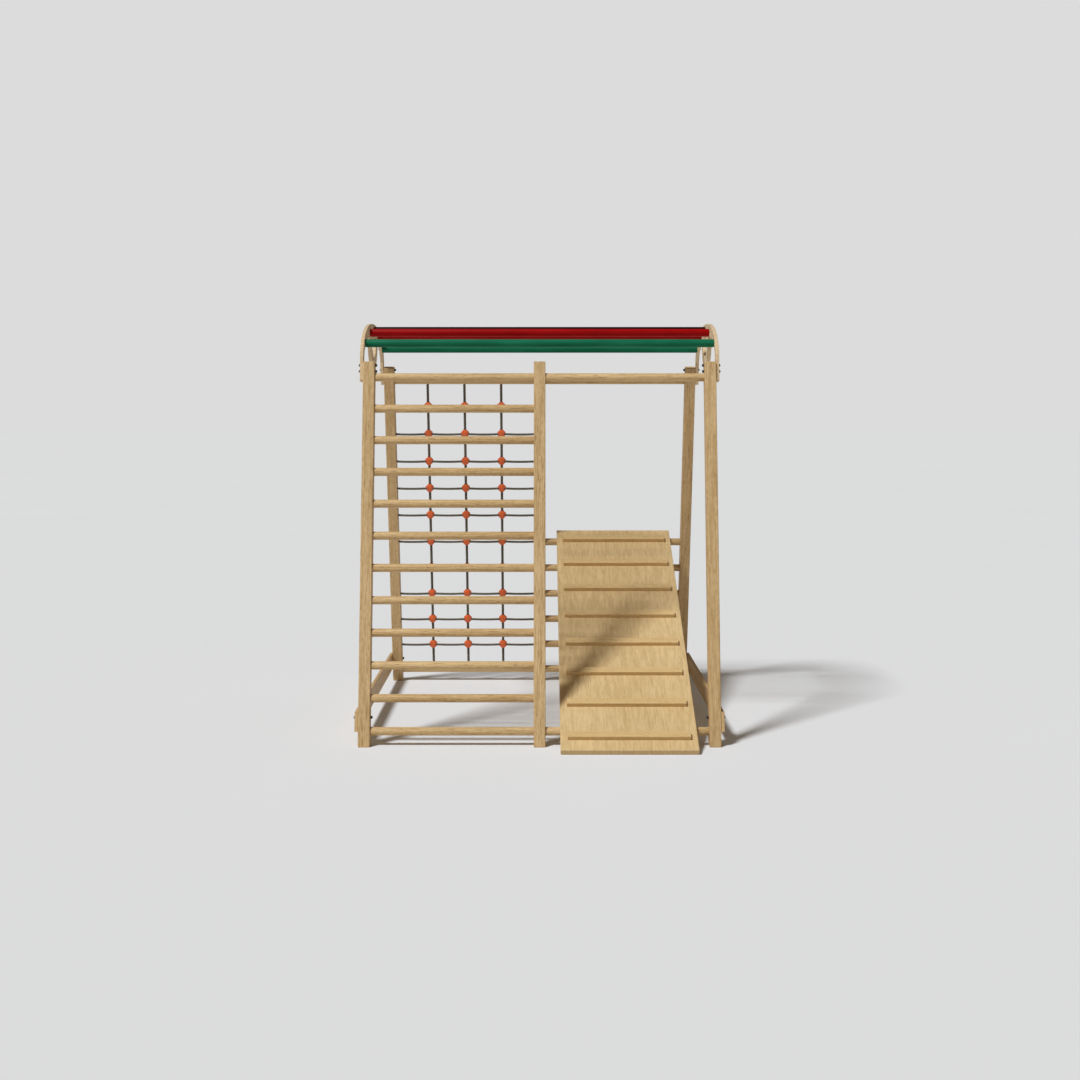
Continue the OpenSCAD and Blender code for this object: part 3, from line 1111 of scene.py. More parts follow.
def lay_rod(model: bpy.types.Object, node: str) -> bpy.types.Object:
    """A copy of a rod in a node's place, along X, cut from its own wood.

    Args:
        model: the rod, along Z.
        node: the node.

    Returns:
        The copy.
    """
    left, middle = corners_of(node)[0].x, middle_of(node)
    rod = copy_of(model, node, Matrix.Identity(4))
    lay_grain(rod, Along.Z, node, ROD_SPREAD)
    move(rod, Matrix.Translation((left, middle.y, middle.z)) @ TO_X)
    return rod


def solids_of(node: str) -> list[tuple[Vector, Vector]]:
    """The box of every separate solid in a node.

    Args:
        node: the node.

    Returns:
        Their lowest and highest corners, from left to right, front to back and up.
    """
    mesh = frame["nodes"][node].data
    owner: dict[tuple[int, int, int], int] = {}
    root = list(range(len(mesh.vertices)))

    def find(i: int) -> int:
        """The point that stands for this point's solid."""
        while root[i] != i:
            root[i] = root[root[i]]
            i = root[i]
        return i

    microns = 1e6            # points of the loose triangles that agree to a micron are one
    for vertex in mesh.vertices:
        key = tuple(round(c * microns) for c in vertex.co)
        root[find(vertex.index)] = find(owner.setdefault(key, vertex.index))
    for edge in mesh.edges:
        root[find(edge.vertices[0])] = find(edge.vertices[1])
    groups: dict[int, list[Vector]] = {}
    for vertex in mesh.vertices:
        groups.setdefault(find(vertex.index), []).append(vertex.co)
    boxes = [(Vector([min(p[i] for p in points) for i in range(3)]),
              Vector([max(p[i] for p in points) for i in range(3)]))
             for points in groups.values()]
    return sorted(boxes, key=lambda b: tuple(round(c, 3) for c in b[0]))


# Sub-assemblies -------------------------------------------------------------------------------


@dataclass
class LadderFrames:
    """Six leaning posts and the rungs between them."""

    post_rounding: float = 0.0028
    rung_rounding: float = 0.0016
    hole_play: float = 0.00035     # round a rung in its hole
    rope_play: float = 0.0003      # round a cross rope in its hole
    drill_past: float = 0.01       # how far a cutter may reach out of a post
    net_hole: float = 0.0116       # across an upright rope's hole in a rung
    net_hole_length: float = 0.028
    net_hole_back: float = 0.008   # the hole's bottom, beyond the rung's middle

    def rungs(self) -> list[str]:
        """The rungs' nodes."""
        return [name for name in frame["nodes"] if name.startswith("rung_")]

    def build(self) -> None:
        """Makes every post and rung."""
        for face in Face:
            for side in ("left", "centre", "right"):
                self.build_post(face, f"post_{face.name.lower()}_{side}")
        rungs = self.rungs()
        low, high = corners_of(rungs[0])
        model = turned_rod("rung", high.z - low.z, high.x - low.x, self.rung_rounding)
        for node in rungs:
            self.build_rung(model, node)
        bpy.data.meshes.remove(model.data)

    def build_post(self, face: Face, node: str) -> None:
        """A square post with its foot sawn level and a hole for each rung.

        Args:
            face: the frame that it stands in.
            node: its node.
        """
        size = SKELETON.post
        length = SKELETON.post_top / math.cos(SKELETON.lean)
        inward = -face.value
        near, far = sorted((0.0, inward * size))
        post = add_board(node, Vector((-size / 2, near, 0.0)), Vector((size / 2, far, length)))
        place = SKELETON.stand(face, middle_of(node).x)
        up = place.to_3x3().inverted() @ Vector((0.0, 0.0, 1.0))
        take_up(post)
        bpy.ops.object.mode_set(mode="EDIT")
        bpy.ops.mesh.select_all(action="SELECT")
        bpy.ops.mesh.bisect(plane_co=(0.0, 0.0, 0.0), plane_no=up, use_fill=True,
                            clear_inner=True)
        bpy.ops.object.mode_set(mode="OBJECT")
        round_edges(post, self.post_rounding)
        self.drill(post, face, node, place)
        lay_grain(post, Along.Z, node)
        move(post, place)
        shade(post, SAWN_CREASE)
        hand_over(post, node, Finish.POST)

    def drill(self, post: bpy.types.Object, face: Face, node: str, place: Matrix) -> None:
        """Cuts the rungs' holes in a post.

        Args:
            post: the post, in its own frame.
            face: the frame that it stands in.
            node: its node.
            place: where the post will stand.
        """
        low, high = corners_of(node)
        cutters = []
        for rung in self.rungs():
            start, end = corners_of(rung)
            if f"_{face.name.lower()}_" not in rung or start.x > high.x or end.x < low.x:
                continue
            middle = (start + end) / 2
            from_x = max(start.x, low.x - self.drill_past)
            to_x = min(end.x, high.x + self.drill_past)
            cutter = rod_between("drill", end.z - start.z + 2 * self.hole_play,
                                 Vector((from_x, middle.y, middle.z)),
                                 Vector((to_x, middle.y, middle.z)), DRILL_SIDES)
            move(cutter, place.inverted())
            cutters.append(cutter)
        if face is Face.BACK:
            cutters += self.rope_drills(low, high, place)
        cut_away(post, cutters)

    def rope_drills(self, low: Vector, high: Vector, place: Matrix) -> list[bpy.types.Object]:
        """Cutters for the holes that the cross ropes end in.

        Args:
            low: the post's lowest corner.
            high: its highest corner.
            place: where the post will stand.

        Returns:
            A cutter for each cross rope that reaches the post.
        """
        net_low, net_high = corners_of("net_cross_ropes")
        if net_low.x > high.x or net_high.x < low.x:
            return []
        ropes = RopeNet()
        first = max(net_low.x, low.x - self.drill_past)
        last = min(net_high.x, high.x + self.drill_past)
        drills = []
        for y, z in ropes.row_places():
            drill = rod_between("drill", ropes.cross + 2 * self.rope_play,
                                Vector((first, y, z)), Vector((last, y, z)), SMALL_SIDES)
            move(drill, place.inverted())
            drills.append(drill)
        return drills

    def build_rung(self, model: bpy.types.Object, node: str) -> None:
        """A turned rung with softened ends, and rope holes where the net ends in it.

        Args:
            model: the rung that all are copied from.
            node: its node.
        """
        rung = lay_rod(model, node)
        if node.startswith("rung_back_left"):
            self.open_to_net(rung, middle_of(node))
        hand_over(rung, node, Finish.RUNG)

    def open_to_net(self, rung: bpy.types.Object, middle: Vector) -> None:
        """Cuts the holes that the upright ropes end in.

        Args:
            rung: the rung, in place.
            middle: its middle.
        """
        ropes = RopeNet()
        tip = 1.0 if middle.z < SKELETON.post_top / 2 else -1.0
        inward = Vector((0.0, -math.sin(SKELETON.lean), math.cos(SKELETON.lean))) * tip
        spin = Vector((0.0, 0.0, 1.0)).rotation_difference(inward).to_matrix().to_4x4()
        cutters = []
        for x in ropes.upright_places():
            drill = add_rod("drill", self.net_hole, self.net_hole_length, SMALL_SIDES)
            start = Vector((x, middle.y, middle.z)) - inward * self.net_hole_back
            move(drill, Matrix.Translation(start) @ spin)
            cutters.append(drill)
        cut_away(rung, cutters)


@dataclass
class Arches:
    """Two plywood arches with a half ring under each crown, and five bars between them."""

    rise: float = 0.144            # the arch's top above the posts' outer top edges
    crown: float = 0.042           # the plate's width at the top
    leg: float = 0.031             # its width on the posts
    leg_length: float = 0.066      # how far a leg reaches down its post
    setback: float = 0.009         # a leg's outer edge from its post's outer face
    ring_outer: float = 0.117
    ring_inner: float = 0.073
    ring_drop: float = 0.004       # the ring's centre below the underside of the crown
    hole_drop: float = 0.016       # the top of the ring's hole, likewise
    ring_clear: float = 0.001      # least gap between the ring and a point of the underside
    power: float = 2.2             # how full the oval is: 2 is an ellipse
    rounding: float = 0.0016
    corner: float = 0.006          # rounding of the legs' ends
    oval_steps: int = 64
    ring_steps: int = 40
    corner_steps: int = 4
    bar_rounding: float = 0.0022
    bars: dict[str, Finish] = field(default_factory=lambda: {
        "top_bar_1": Finish.GREEN, "top_bar_2": Finish.RED, "top_bar_3": Finish.BLACK_PAINT,
        "top_bar_4": Finish.RED, "top_bar_5": Finish.GREEN})

    def build(self) -> None:
        """Makes both arches and the bars."""
        for node in ("arch_left", "arch_right"):
            self.build_arch(node)
        low, high = corners_of("top_bar_1")
        model = turned_rod("bar", high.z - low.z, high.x - low.x, self.bar_rounding)
        for node, finish in self.bars.items():
            hand_over(lay_rod(model, node), node, finish)
        bpy.data.meshes.remove(model.data)

    @property
    def outer_half(self) -> float:
        """From the middle to the arch's outer edge, at the posts' tops."""
        edge = SKELETON.half_depth - SKELETON.post_top * math.tan(SKELETON.lean)
        return edge - self.setback / math.cos(SKELETON.lean)

    @property
    def inner_half(self) -> float:
        """From the middle to the arch's inner edge, at the posts' tops."""
        return self.outer_half - self.leg / math.cos(SKELETON.lean)

    def oval(self, half: float, rise: float, turn: float) -> Point2:
        """A point on an oval over the posts' tops.

        Args:
            half: half its width.
            rise: its height.
            turn: 0 at the back, pi at the front.

        Returns:
            Its y and z.
        """
        share = 2 / self.power
        flat = math.copysign(abs(math.cos(turn)) ** share, math.cos(turn))
        return (SKELETON.middle + half * flat,
                SKELETON.post_top + rise * abs(math.sin(turn)) ** share)

    def leg_end(self, face: Face) -> list[Point2]:
        """The end of a leg with rounded corners, from its outer to its inner edge.

        Args:
            face: the frame that the leg is bolted to.

        Returns:
            The points round it.
        """
        bottom = SKELETON.post_top / math.cos(SKELETON.lean) - self.leg_length
        outer = self.setback + self.corner
        inner = self.setback + self.leg - self.corner
        points = []
        for centre, first in ((outer, math.pi), (inner, 1.5 * math.pi)):
            for step in range(self.corner_steps + 1):
                turn = first + step * (math.pi / 2) / self.corner_steps
                points.append(SKELETON.point(
                    face, bottom + self.corner + self.corner * math.sin(turn),
                    centre + self.corner * math.cos(turn)))
        return points

    def outline(self) -> list[Point2]:
        """The arch's outer outline, from the back leg over the crown and back underneath."""
        over = [self.oval(self.outer_half, self.rise, math.pi * i / self.oval_steps)
                for i in range(self.oval_steps + 1)]
        inner_rise = self.rise - self.crown
        under = [self.oval(self.inner_half, inner_rise, math.pi * (1 - i / self.oval_steps))
                 for i in range(self.oval_steps + 1)]
        reach = self.ring_outer + self.ring_clear
        front = [point for point in under if point[0] < SKELETON.middle - reach]
        back = [point for point in under if point[0] > SKELETON.middle + reach]
        turns = [math.pi * i / self.ring_steps for i in range(self.ring_steps + 1)]
        ring = [(SKELETON.middle - self.ring_outer * math.cos(turn),
                 self.ring_z - self.ring_outer * math.sin(turn)) for turn in turns]
        back_leg = list(reversed(self.leg_end(Face.BACK)))
        return over + self.leg_end(Face.FRONT) + front + ring + back + back_leg

    @property
    def ring_z(self) -> float:
        """The height of the half ring's centre."""
        return SKELETON.post_top + self.rise - self.crown - self.ring_drop

    def hole(self) -> list[Point2]:
        """The outline of the half ring's hole, which is straight along its top."""
        first = math.asin((self.hole_drop - self.ring_drop) / self.ring_inner)
        turns = [first + (math.pi - 2 * first) * i / self.ring_steps
                 for i in range(self.ring_steps + 1)]
        return [(SKELETON.middle + self.ring_inner * math.cos(turn),
                 self.ring_z - self.ring_inner * math.sin(turn)) for turn in turns]

    def build_arch(self, node: str) -> None:
        """One arch.

        Args:
            node: its node.
        """
        low, high = corners_of(node)
        arch = add_plate(node, [self.outline(), self.hole()], high.x - low.x, self.rounding)
        lay_ply_grain(arch, Along.Y, node)
        move(arch, Matrix.Translation(((low.x + high.x) / 2, 0.0, 0.0)))
        shade(arch, SHEET_CREASE)
        hand_over(arch, node, Finish.ARCH)


@dataclass
class SideRails:
    """The two plywood rails that join the feet of the ladder frames."""

    rounding: float = 0.0018

    def build(self) -> None:
        """Makes both rails."""
        for node in ("side_rail_left", "side_rail_right"):
            self.build_rail(node)

    def build_rail(self, node: str) -> None:
        """One rail, with its ends sawn to the posts' lean.

        Args:
            node: its node.
        """
        low, high = corners_of(node)
        run = (high.z - low.z) * math.tan(SKELETON.lean)
        outline = [(low.y, low.z), (high.y, low.z), (high.y - run, high.z),
                   (low.y + run, high.z)]
        rail = add_plate(node, [outline], high.x - low.x, self.rounding)
        lay_ply_grain(rail, Along.Y, node)
        move(rail, Matrix.Translation(((low.x + high.x) / 2, 0.0, 0.0)))
        shade(rail, SHEET_CREASE)
        hand_over(rail, node, Finish.RAIL)


@dataclass
class Ramp:
    """The cleated board, with the two notched hooks that hold it on its rung."""

    length: float = 1.38791
    thickness: float = 0.018
    rounding: float = 0.0022
    figure_reach: float = 9.0      # how far along the board its figure may start
    cleat_height: float = 0.014
    cleat_width: float = 0.03
    cleat_rounding: float = 0.001
    cleat_length: float = 0.406
    cleat_start: float = 0.053     # the lowest cleat's lower edge, from the toe
    cleat_end: float = 0.091       # the highest cleat's lower edge, from the top
    cleat_count: int = 8
    hook_radius: float = 0.0145    # of the notch
    hook_cheek: float = 0.018      # the wood on each side of the notch
    hook_drop: float = 0.022       # the notch's straight part
    hook_let_in: float = 0.006     # the depth of a hook's pocket in the board
    hook_corner: float = 0.006
    hook_rounding: float = 0.0012
    notch_steps: int = 24
    corner_steps: int = 6
    cutter_past: float = 0.01      # how far a pocket's cutter reaches out of the board
    screw_side: float = 0.163      # of the cleats' screws, from the board's middle
    hook_side: float = 0.177       # of the hooks, likewise
    screw: float = 0.004
    screw_tip: float = 0.3         # the flat of its tip, as a share of the shank
    screw_head: float = 0.008
    screw_head_height: float = 0.003
    screw_rounding: float = 0.0009
    screw_grip: float = 0.009      # how far a screw goes into the second piece
    cross_half: Point2 = (0.0021, 0.0005)   # half the length and width of the cross's arms
    cross_depth: float = 0.0013
    cross_past: float = 0.001      # how far its cutter reaches out of the head
    seat_play: float = 0.0001      # round a screw's head
    seat_past: float = 0.005       # how far a seat's cutter reaches out of the wood

    @property
    def slope(self) -> float:
        """The board's angle from the floor."""
        low, high = corners_of("ramp_board")
        diagonal = math.hypot(self.length, self.thickness)
        return math.acos((high.y - low.y) / diagonal) + math.atan2(self.thickness, self.length)

    def place(self) -> Matrix:
        """Where the board's own frame goes: Y up its underside from the toe."""
        low, high = corners_of("ramp_board")
        toe = Vector(((low.x + high.x) / 2,
                      low.y + self.thickness * math.sin(self.slope), 0.0))
        return Matrix.Translation(toe) @ Matrix.Rotation(self.slope, 4, "X")

    def build(self) -> None:
        """Makes the board, its cleats, its hooks and their screws."""
        self.build_board()
        self.build_cleats()
        for node in ("ramp_hook_left", "ramp_hook_right"):
            self.build_hook(node)
        self.build_screws()

    def cleat_starts(self) -> list[float]:
        """The distance of each cleat's lower edge from the toe."""
        pitch = (self.length - self.cleat_start - self.cleat_end) / (self.cleat_count - 1)
        return [self.cleat_start + i * pitch for i in range(self.cleat_count)]

    def cleat_screws(self) -> list[Vector]:
        """Where the heads of the cleats' screws stand, in the board's frame."""
        return [Vector((side * self.screw_side, start + self.cleat_width / 2, 0.0))
                for start in self.cleat_starts() for side in (-1, 1)]

    def hook_screws(self) -> list[Vector]:
        """Where the heads of the hooks' screws stand, in the board's frame."""
        reach = self.hook_radius + self.hook_cheek / 2
        return [Vector((side * self.hook_side, self.rung_along + end * reach,
                        -self.hook_radius - self.hook_drop))
                for side in (-1, 1) for end in (-1, 1)]

    def recesses(self, heads: Sequence[Vector]) -> list[bpy.types.Object]:
        """Cutters for the seats of screw heads.

        Args:
            heads: where the heads stand.

        Returns:
            One cutter for each.
        """
        seats = []
        for head in heads:
            seat = add_rod("seat", self.screw_head + 2 * self.seat_play,
                           self.screw_head_height + self.seat_past, SMALL_SIDES)
            move(seat, Matrix.Translation(head - Vector((0.0, 0.0, self.seat_past))))
            seats.append(seat)
        return seats

    def build_board(self) -> None:
        """The board, with a pocket for each hook in its underside."""
        node = "ramp_board"
        low, high = corners_of(node)
        half = (high.x - low.x) / 2
        board = add_board(node, Vector((-half, 0.0, 0.0)),
                          Vector((half, self.length, self.thickness)))
        round_edges(board, self.rounding)
        middle = (low.x + high.x) / 2
        reach = self.hook_radius + self.hook_cheek
        pockets = []
        for hook in ("ramp_hook_left", "ramp_hook_right"):
            edge, other = (corner.x for corner in corners_of(hook))
            pockets.append(add_board(
                "pocket", Vector((edge - middle, self.rung_along - reach, -self.cutter_past)),
                Vector((other - middle, self.rung_along + reach, self.hook_let_in))))
        cut_away(board, pockets + self.recesses(self.cleat_screws()))
        dice = random.Random(node)
        start = Vector((-self.thickness / 2, dice.uniform(-SHEET_REACH, SHEET_REACH),
                        dice.uniform(-self.figure_reach, self.figure_reach)))
        lay_coordinates(board, [start + Vector((v.co.z, v.co.x, v.co.y))
                                for v in board.data.vertices])
        move(board, self.place())
        shade(board, SAWN_CREASE)
        hand_over(board, node, Finish.BOARD)

    @property
    def rung_along(self) -> float:
        """The distance of the hooks' rung from the toe, up the board."""
        pivot = Vector(frame["joints"][0]["pos_m"])
        return (self.place().inverted() @ Vector((0.0, pivot.y, pivot.z))).y

    def build_cleats(self) -> None:
        """The cleats, which are all cut alike."""
        model = add_board("cleat", Vector((-self.cleat_length / 2, 0.0, 0.0)),
                          Vector((self.cleat_length / 2, self.cleat_width, self.cleat_height)))
        round_edges(model, self.cleat_rounding)
        shade(model, SAWN_CREASE)
        for index, start in enumerate(self.cleat_starts(), 1):
            node = f"ramp_cleat_{index}"
            cleat = copy_of(model, node, Matrix.Identity(4))
            lay_grain(cleat, Along.X, node)
            move(cleat, self.place() @ Matrix.Translation((0.0, start, self.thickness)))
            hand_over(cleat, node, Finish.CLEAT)
        bpy.data.meshes.remove(model.data)

    def hook_outline(self) -> list[Point2]:
        """The outline of a hook block with its round-topped notch, in the board's frame."""
        middle = self.rung_along
        reach = self.hook_radius + self.hook_cheek
        bottom = -self.hook_radius - self.hook_drop
        turns = [math.pi * i / self.notch_steps for i in range(self.notch_steps + 1)]
        notch = [(middle + self.hook_radius * math.cos(turn),
                  -self.hook_radius + self.hook_radius * math.sin(turn)) for turn in turns]
        points = [(middle - reach, self.hook_let_in)]
        points += self.corner_arc(middle - reach, bottom, 1.0)
        points += [(middle - self.hook_radius, bottom)]
        points += list(reversed(notch))
        points += [(middle + self.hook_radius, bottom)]
        points += list(reversed(self.corner_arc(middle + reach, bottom, -1.0)))
        points += [(middle + reach, self.hook_let_in)]
        return points

    def corner_arc(self, y: float, z: float, inward: float) -> list[Point2]:
        """A rounded lower corner of a hook, from its side to its bottom.

        Args:
            y: the corner's y.
            z: the corner's z.
            inward: 1 if the block lies towards +Y, -1 if towards -Y.

        Returns:
            The points of the arc.
        """
        radius = self.hook_corner
        turns = [math.pi / 2 * i / self.corner_steps for i in range(self.corner_steps + 1)]
        return [(y + inward * radius * (1 - math.cos(turn)), z + radius * (1 - math.sin(turn)))
                for turn in turns]

    def build_hook(self, node: str) -> None:
        """One notched block.

        Args:
            node: its node.
        """
        low, high = corners_of(node)
        hook = add_plate(node, [self.hook_outline()], high.x - low.x, self.hook_rounding)
        shift = middle_of(node).x - middle_of("ramp_board").x
        heads = [head for head in self.hook_screws() if head.x * shift > 0]
        seats = self.recesses([head - Vector((shift, 0.0, 0.0)) for head in heads])
        cut_away(hook, seats)
        lay_ply_grain(hook, Along.Y, node)
        move(hook, self.place() @ Matrix.Translation((shift, 0.0, 0.0)))
        shade(hook, SAWN_CREASE)
        hand_over(hook, node, Finish.HOOK)

    def build_screws(self) -> None:
        """The screws of the cleats and of the hooks."""
        long = self.hook_radius + self.hook_drop + self.hook_let_in + self.screw_grip
        for node, heads, length in (
                ("cleat_screws", self.cleat_screws(), self.thickness + self.screw_grip),
                ("hook_screws", self.hook_screws(), long)):
            model = self.model_screw(length)
            copies = [copy_of(model, "screw", self.place() @ Matrix.Translation(head))
                      for head in heads]
            bpy.data.meshes.remove(model.data)
            hand_over(join(node, copies), node, Finish.ZINC)

    def model_screw(self, length: float) -> bpy.types.Object:
        """A screw with a domed head and a cross in it, head down on the origin.

        Args:
            length: its length.

        Returns:
            The screw.
        """
        screw = add_rod("screw", self.screw_head, self.screw_head_height, SMALL_SIDES)
        push_end(screw, 1.0, self.screw / self.screw_head, length - self.screw_head_height)
        push_end(screw, 1.0, self.screw_tip, 0.0)
        round_edges(screw, self.screw_rounding, angle=50.0)
        for x, y in (self.cross_half, self.cross_half[::-1]):
            arm = add_board("arm", Vector((-x, -y, -self.cross_past)),
                            Vector((x, y, self.cross_depth)))
            cut_away(screw, [arm])
        smooth(screw, STEEL_CREASE)
        return screw


@dataclass
class RopeNet:
    """Three upright and ten cross ropes of three strands, held by moulded connectors."""

    upright: float = 0.011         # across an upright rope
    cross: float = 0.0095          # across a cross rope
    end_reach: float = 0.0078      # how far an upright rope goes past a rung's middle
    lay: float = 3.1               # length of one turn of a strand, in rope diameters
    strands: int = 3
    strand_sides: int = 9
    strand_shift: float = 0.37     # between the figures of two strands
    step: float = 0.0024           # between two rings of a strand
    sag: float = 0.0025            # dip of a cross rope between two connectors
    rows: int = 10
    connector: float = 0.032       # across a connector
    boss: float = 0.0195           # across its body
    boss_depth: float = 0.021
    boss_rounding: float = 0.0012
    taper: float = 0.6             # a sleeve's mouth, as a share of the body
    lip: float = 0.0014
    mouth: float = 0.003           # how deep a sleeve's mouth is

    def upright_places(self) -> list[float]:
        """The x of each upright rope."""
        low, high = corners_of("net_upright_ropes")
        first, last = low.x + self.upright / 2, high.x - self.upright / 2
        return [first, (first + last) / 2, last]

    def row_places(self) -> list[Point2]:
        """The y and z of each cross rope, from the lowest."""
        low, high = corners_of("net_cross_ropes")
        half = self.cross / 2
        return [(high.y - half + (low.y - high.y + 2 * half) * i / (self.rows - 1),
                 low.z + half + (high.z - low.z - 2 * half) * i / (self.rows - 1))
                for i in range(self.rows)]

    def build(self) -> None:
        """Makes the ropes and the connectors."""
        self.build_uprights()
        self.build_cross_ropes()
        self.build_connectors()

    def twisted(self, name: str, route: Sequence[Vector], diameter: float) -> bpy.types.Object:
        """A rope of several strands laid round a route.

        Args:
            name: the piece's name.
            route: the rope's middle, in equal steps.
            diameter: the rope's diameter.

        Returns:
            The rope.
        """
        apart = math.sin(math.pi / self.strands)
        radius = diameter / 2 / (1 + 1 / apart) / apart      # strands pressed into each other
        orbit = diameter / 2 - radius
        lay = self.lay * diameter
        mesh = bpy.data.meshes.new(name)
        made = bmesh.new()
        coordinates: list[Vector] = []
        step = (route[1] - route[0]).length
        side = Vector((0.0, -math.cos(SKELETON.lean), -math.sin(SKELETON.lean)))
        for strand in range(self.strands):
            rings = []
            for i, centre in enumerate(route):
                ahead = (route[min(i + 1, len(route) - 1)] - route[max(i - 1, 0)]).normalized()
                first = (side - ahead * side.dot(ahead)).normalized()
                second = ahead.cross(first)
                turn = FULL_TURN * (i * step / lay + strand / self.strands)
                out = first * math.cos(turn) + second * math.sin(turn)
                round_way = second * math.cos(turn) - first * math.sin(turn)
                pitch = math.atan2(FULL_TURN * orbit, lay)
                tilt = ahead * math.sin(pitch) - round_way * math.cos(pitch)
                ring = []
                for j in range(self.strand_sides):
                    angle = FULL_TURN * j / self.strand_sides
                    spot = centre + out * (orbit + radius * math.cos(angle)) \
                        - tilt * radius * math.sin(angle)
                    ring.append(made.verts.new(spot))
                    coordinates.append(Vector((j / self.strand_sides, strand * self.strand_shift,
                                               i * step)))
                rings.append(ring)
            for one, two in zip(rings, rings[1:]):
                for j in range(self.strand_sides):
                    k = (j + 1) % self.strand_sides
                    made.faces.new((one[j], one[k], two[k], two[j]))
            made.faces.new(list(reversed(rings[0])))
            made.faces.new(rings[-1])
        made.to_mesh(mesh)
        made.free()
        rope = bpy.data.objects.new(name, mesh)
        bpy.context.scene.collection.objects.link(rope)
        lay_coordinates(rope, coordinates)
        take_up(rope)
        bpy.ops.object.mode_set(mode="EDIT")
        bpy.ops.mesh.select_all(action="SELECT")
        bpy.ops.mesh.normals_make_consistent(inside=False)
        bpy.ops.object.mode_set(mode="OBJECT")
        bpy.ops.object.shade_smooth()
        return rope

    def route(self, start: Vector, end: Vector, hangers: Sequence[float] = ()) -> list[Vector]:
        """A rope's middle line, dipping between the points that hold it.

        Args:
            start: its first end.
            end: its last end.
            hangers: the x of what holds it in between, if it dips.

        Returns:
            Points in equal steps.
        """
        length = (end - start).length
        count = max(2, round(length / self.step))
        points = [start.lerp(end, i / count) for i in range(count + 1)]
        if not hangers:
            return points
        held = [start.x, *hangers, end.x]
        for point in points:
            for left, right in zip(held, held[1:]):
                if left <= point.x <= right:
                    share = (point.x - left) / (right - left)
                    point.z -= 4 * self.sag * share * (1 - share)
        return points

    def build_uprights(self) -> None:
        """The upright ropes, from rung to rung."""
        node = "net_upright_ropes"
        bottom, top = middle_of("rung_back_left_1"), middle_of("rung_back_left_12")
        up = Vector((0.0, top.y - bottom.y, top.z - bottom.z)).normalized()
        ropes = []
        for x in self.upright_places():
            start = Vector((x, bottom.y, bottom.z)) - up * self.end_reach
            end = Vector((x, top.y, top.z)) + up * self.end_reach
            ropes.append(self.twisted("rope", self.route(start, end), self.upright))
        hand_over(join(node, ropes), node, Finish.ROPE)

    def build_cross_ropes(self) -> None:
        """The cross ropes, from post to post."""
        node = "net_cross_ropes"
        low, high = corners_of(node)
        ropes = []
        for y, z in self.row_places():
            start, end = Vector((low.x, y, z)), Vector((high.x, y, z))
            route = self.route(start, end, self.upright_places())
            ropes.append(self.twisted("rope", route, self.cross))
        hand_over(join(node, ropes), node, Finish.ROPE)

    def model_connector(self) -> bpy.types.Object:
        """One moulded cross round the origin: upright rope along Z, cross rope along X."""
        wide, deep = self.boss / 2, self.boss_depth / 2
        boss = add_board("connector", Vector((-wide, -deep, -wide)), Vector((wide, deep, wide)))
        for axis, sign in ((0, -1), (0, 1), (2, -1), (2, 1)):
            self.pull_arm(boss, axis, sign)
        round_edges(boss, self.boss_rounding, 2, 50.0)
        apply_modifier(boss, "SUBSURF", levels=1, render_levels=1)
        weld(boss)
        take_up(boss)
        bpy.ops.object.shade_smooth()
        return boss

    def pull_arm(self, boss: bpy.types.Object, axis: int, sign: int) -> None:
        """Pulls one tapered sleeve out of a connector's body, with a lip at its mouth.

        Args:
            boss: the body.
            axis: 0 for X, 2 for Z.
            sign: which way along it.
        """
        take_up(boss)
        bpy.ops.object.mode_set(mode="EDIT")
        bpy.ops.mesh.select_all(action="DESELECT")
        bpy.ops.object.mode_set(mode="OBJECT")
        max(boss.data.polygons, key=lambda face: face.center[axis] * sign).select = True
        bpy.ops.object.mode_set(mode="EDIT")
        bpy.ops.mesh.select_mode(type="FACE")
        shift = [0.0, 0.0, 0.0]
        shift[axis] = sign * (self.connector - self.boss) / 2
        bpy.ops.mesh.extrude_region_move(TRANSFORM_OT_translate={"value": shift})
        shrink = [self.taper, self.taper, self.taper]
        shrink[axis] = 1.0
        bpy.ops.transform.resize(value=shrink, center_override=(0.0, 0.0, 0.0))
        bpy.ops.mesh.inset(thickness=self.lip)
        shift[axis] = -sign * self.mouth
        bpy.ops.mesh.extrude_region_move(TRANSFORM_OT_translate={"value": shift})
        bpy.ops.object.mode_set(mode="OBJECT")

    def build_connectors(self) -> None:
        """A connector at each crossing."""
        node = "net_connectors"
        model = self.model_connector()
        copies = []
        tilt = Matrix.Rotation(SKELETON.lean, 4, "X")
        shift = (self.upright + self.cross) / 4
        for x in self.upright_places():
            for y, z in self.row_places():
                place = Vector((x, y + shift * math.cos(SKELETON.lean),
                                z + shift * math.sin(SKELETON.lean)))
                copies.append(copy_of(model, "connector", Matrix.Translation(place) @ tilt))
        bpy.data.meshes.remove(model.data)
        hand_over(join(node, copies), node, Finish.CONNECTOR)


@dataclass(frozen=True)
class Bolt:
    """The sizes of a bolt or screw with a domed head."""

    head: float
    height: float
    shank: float


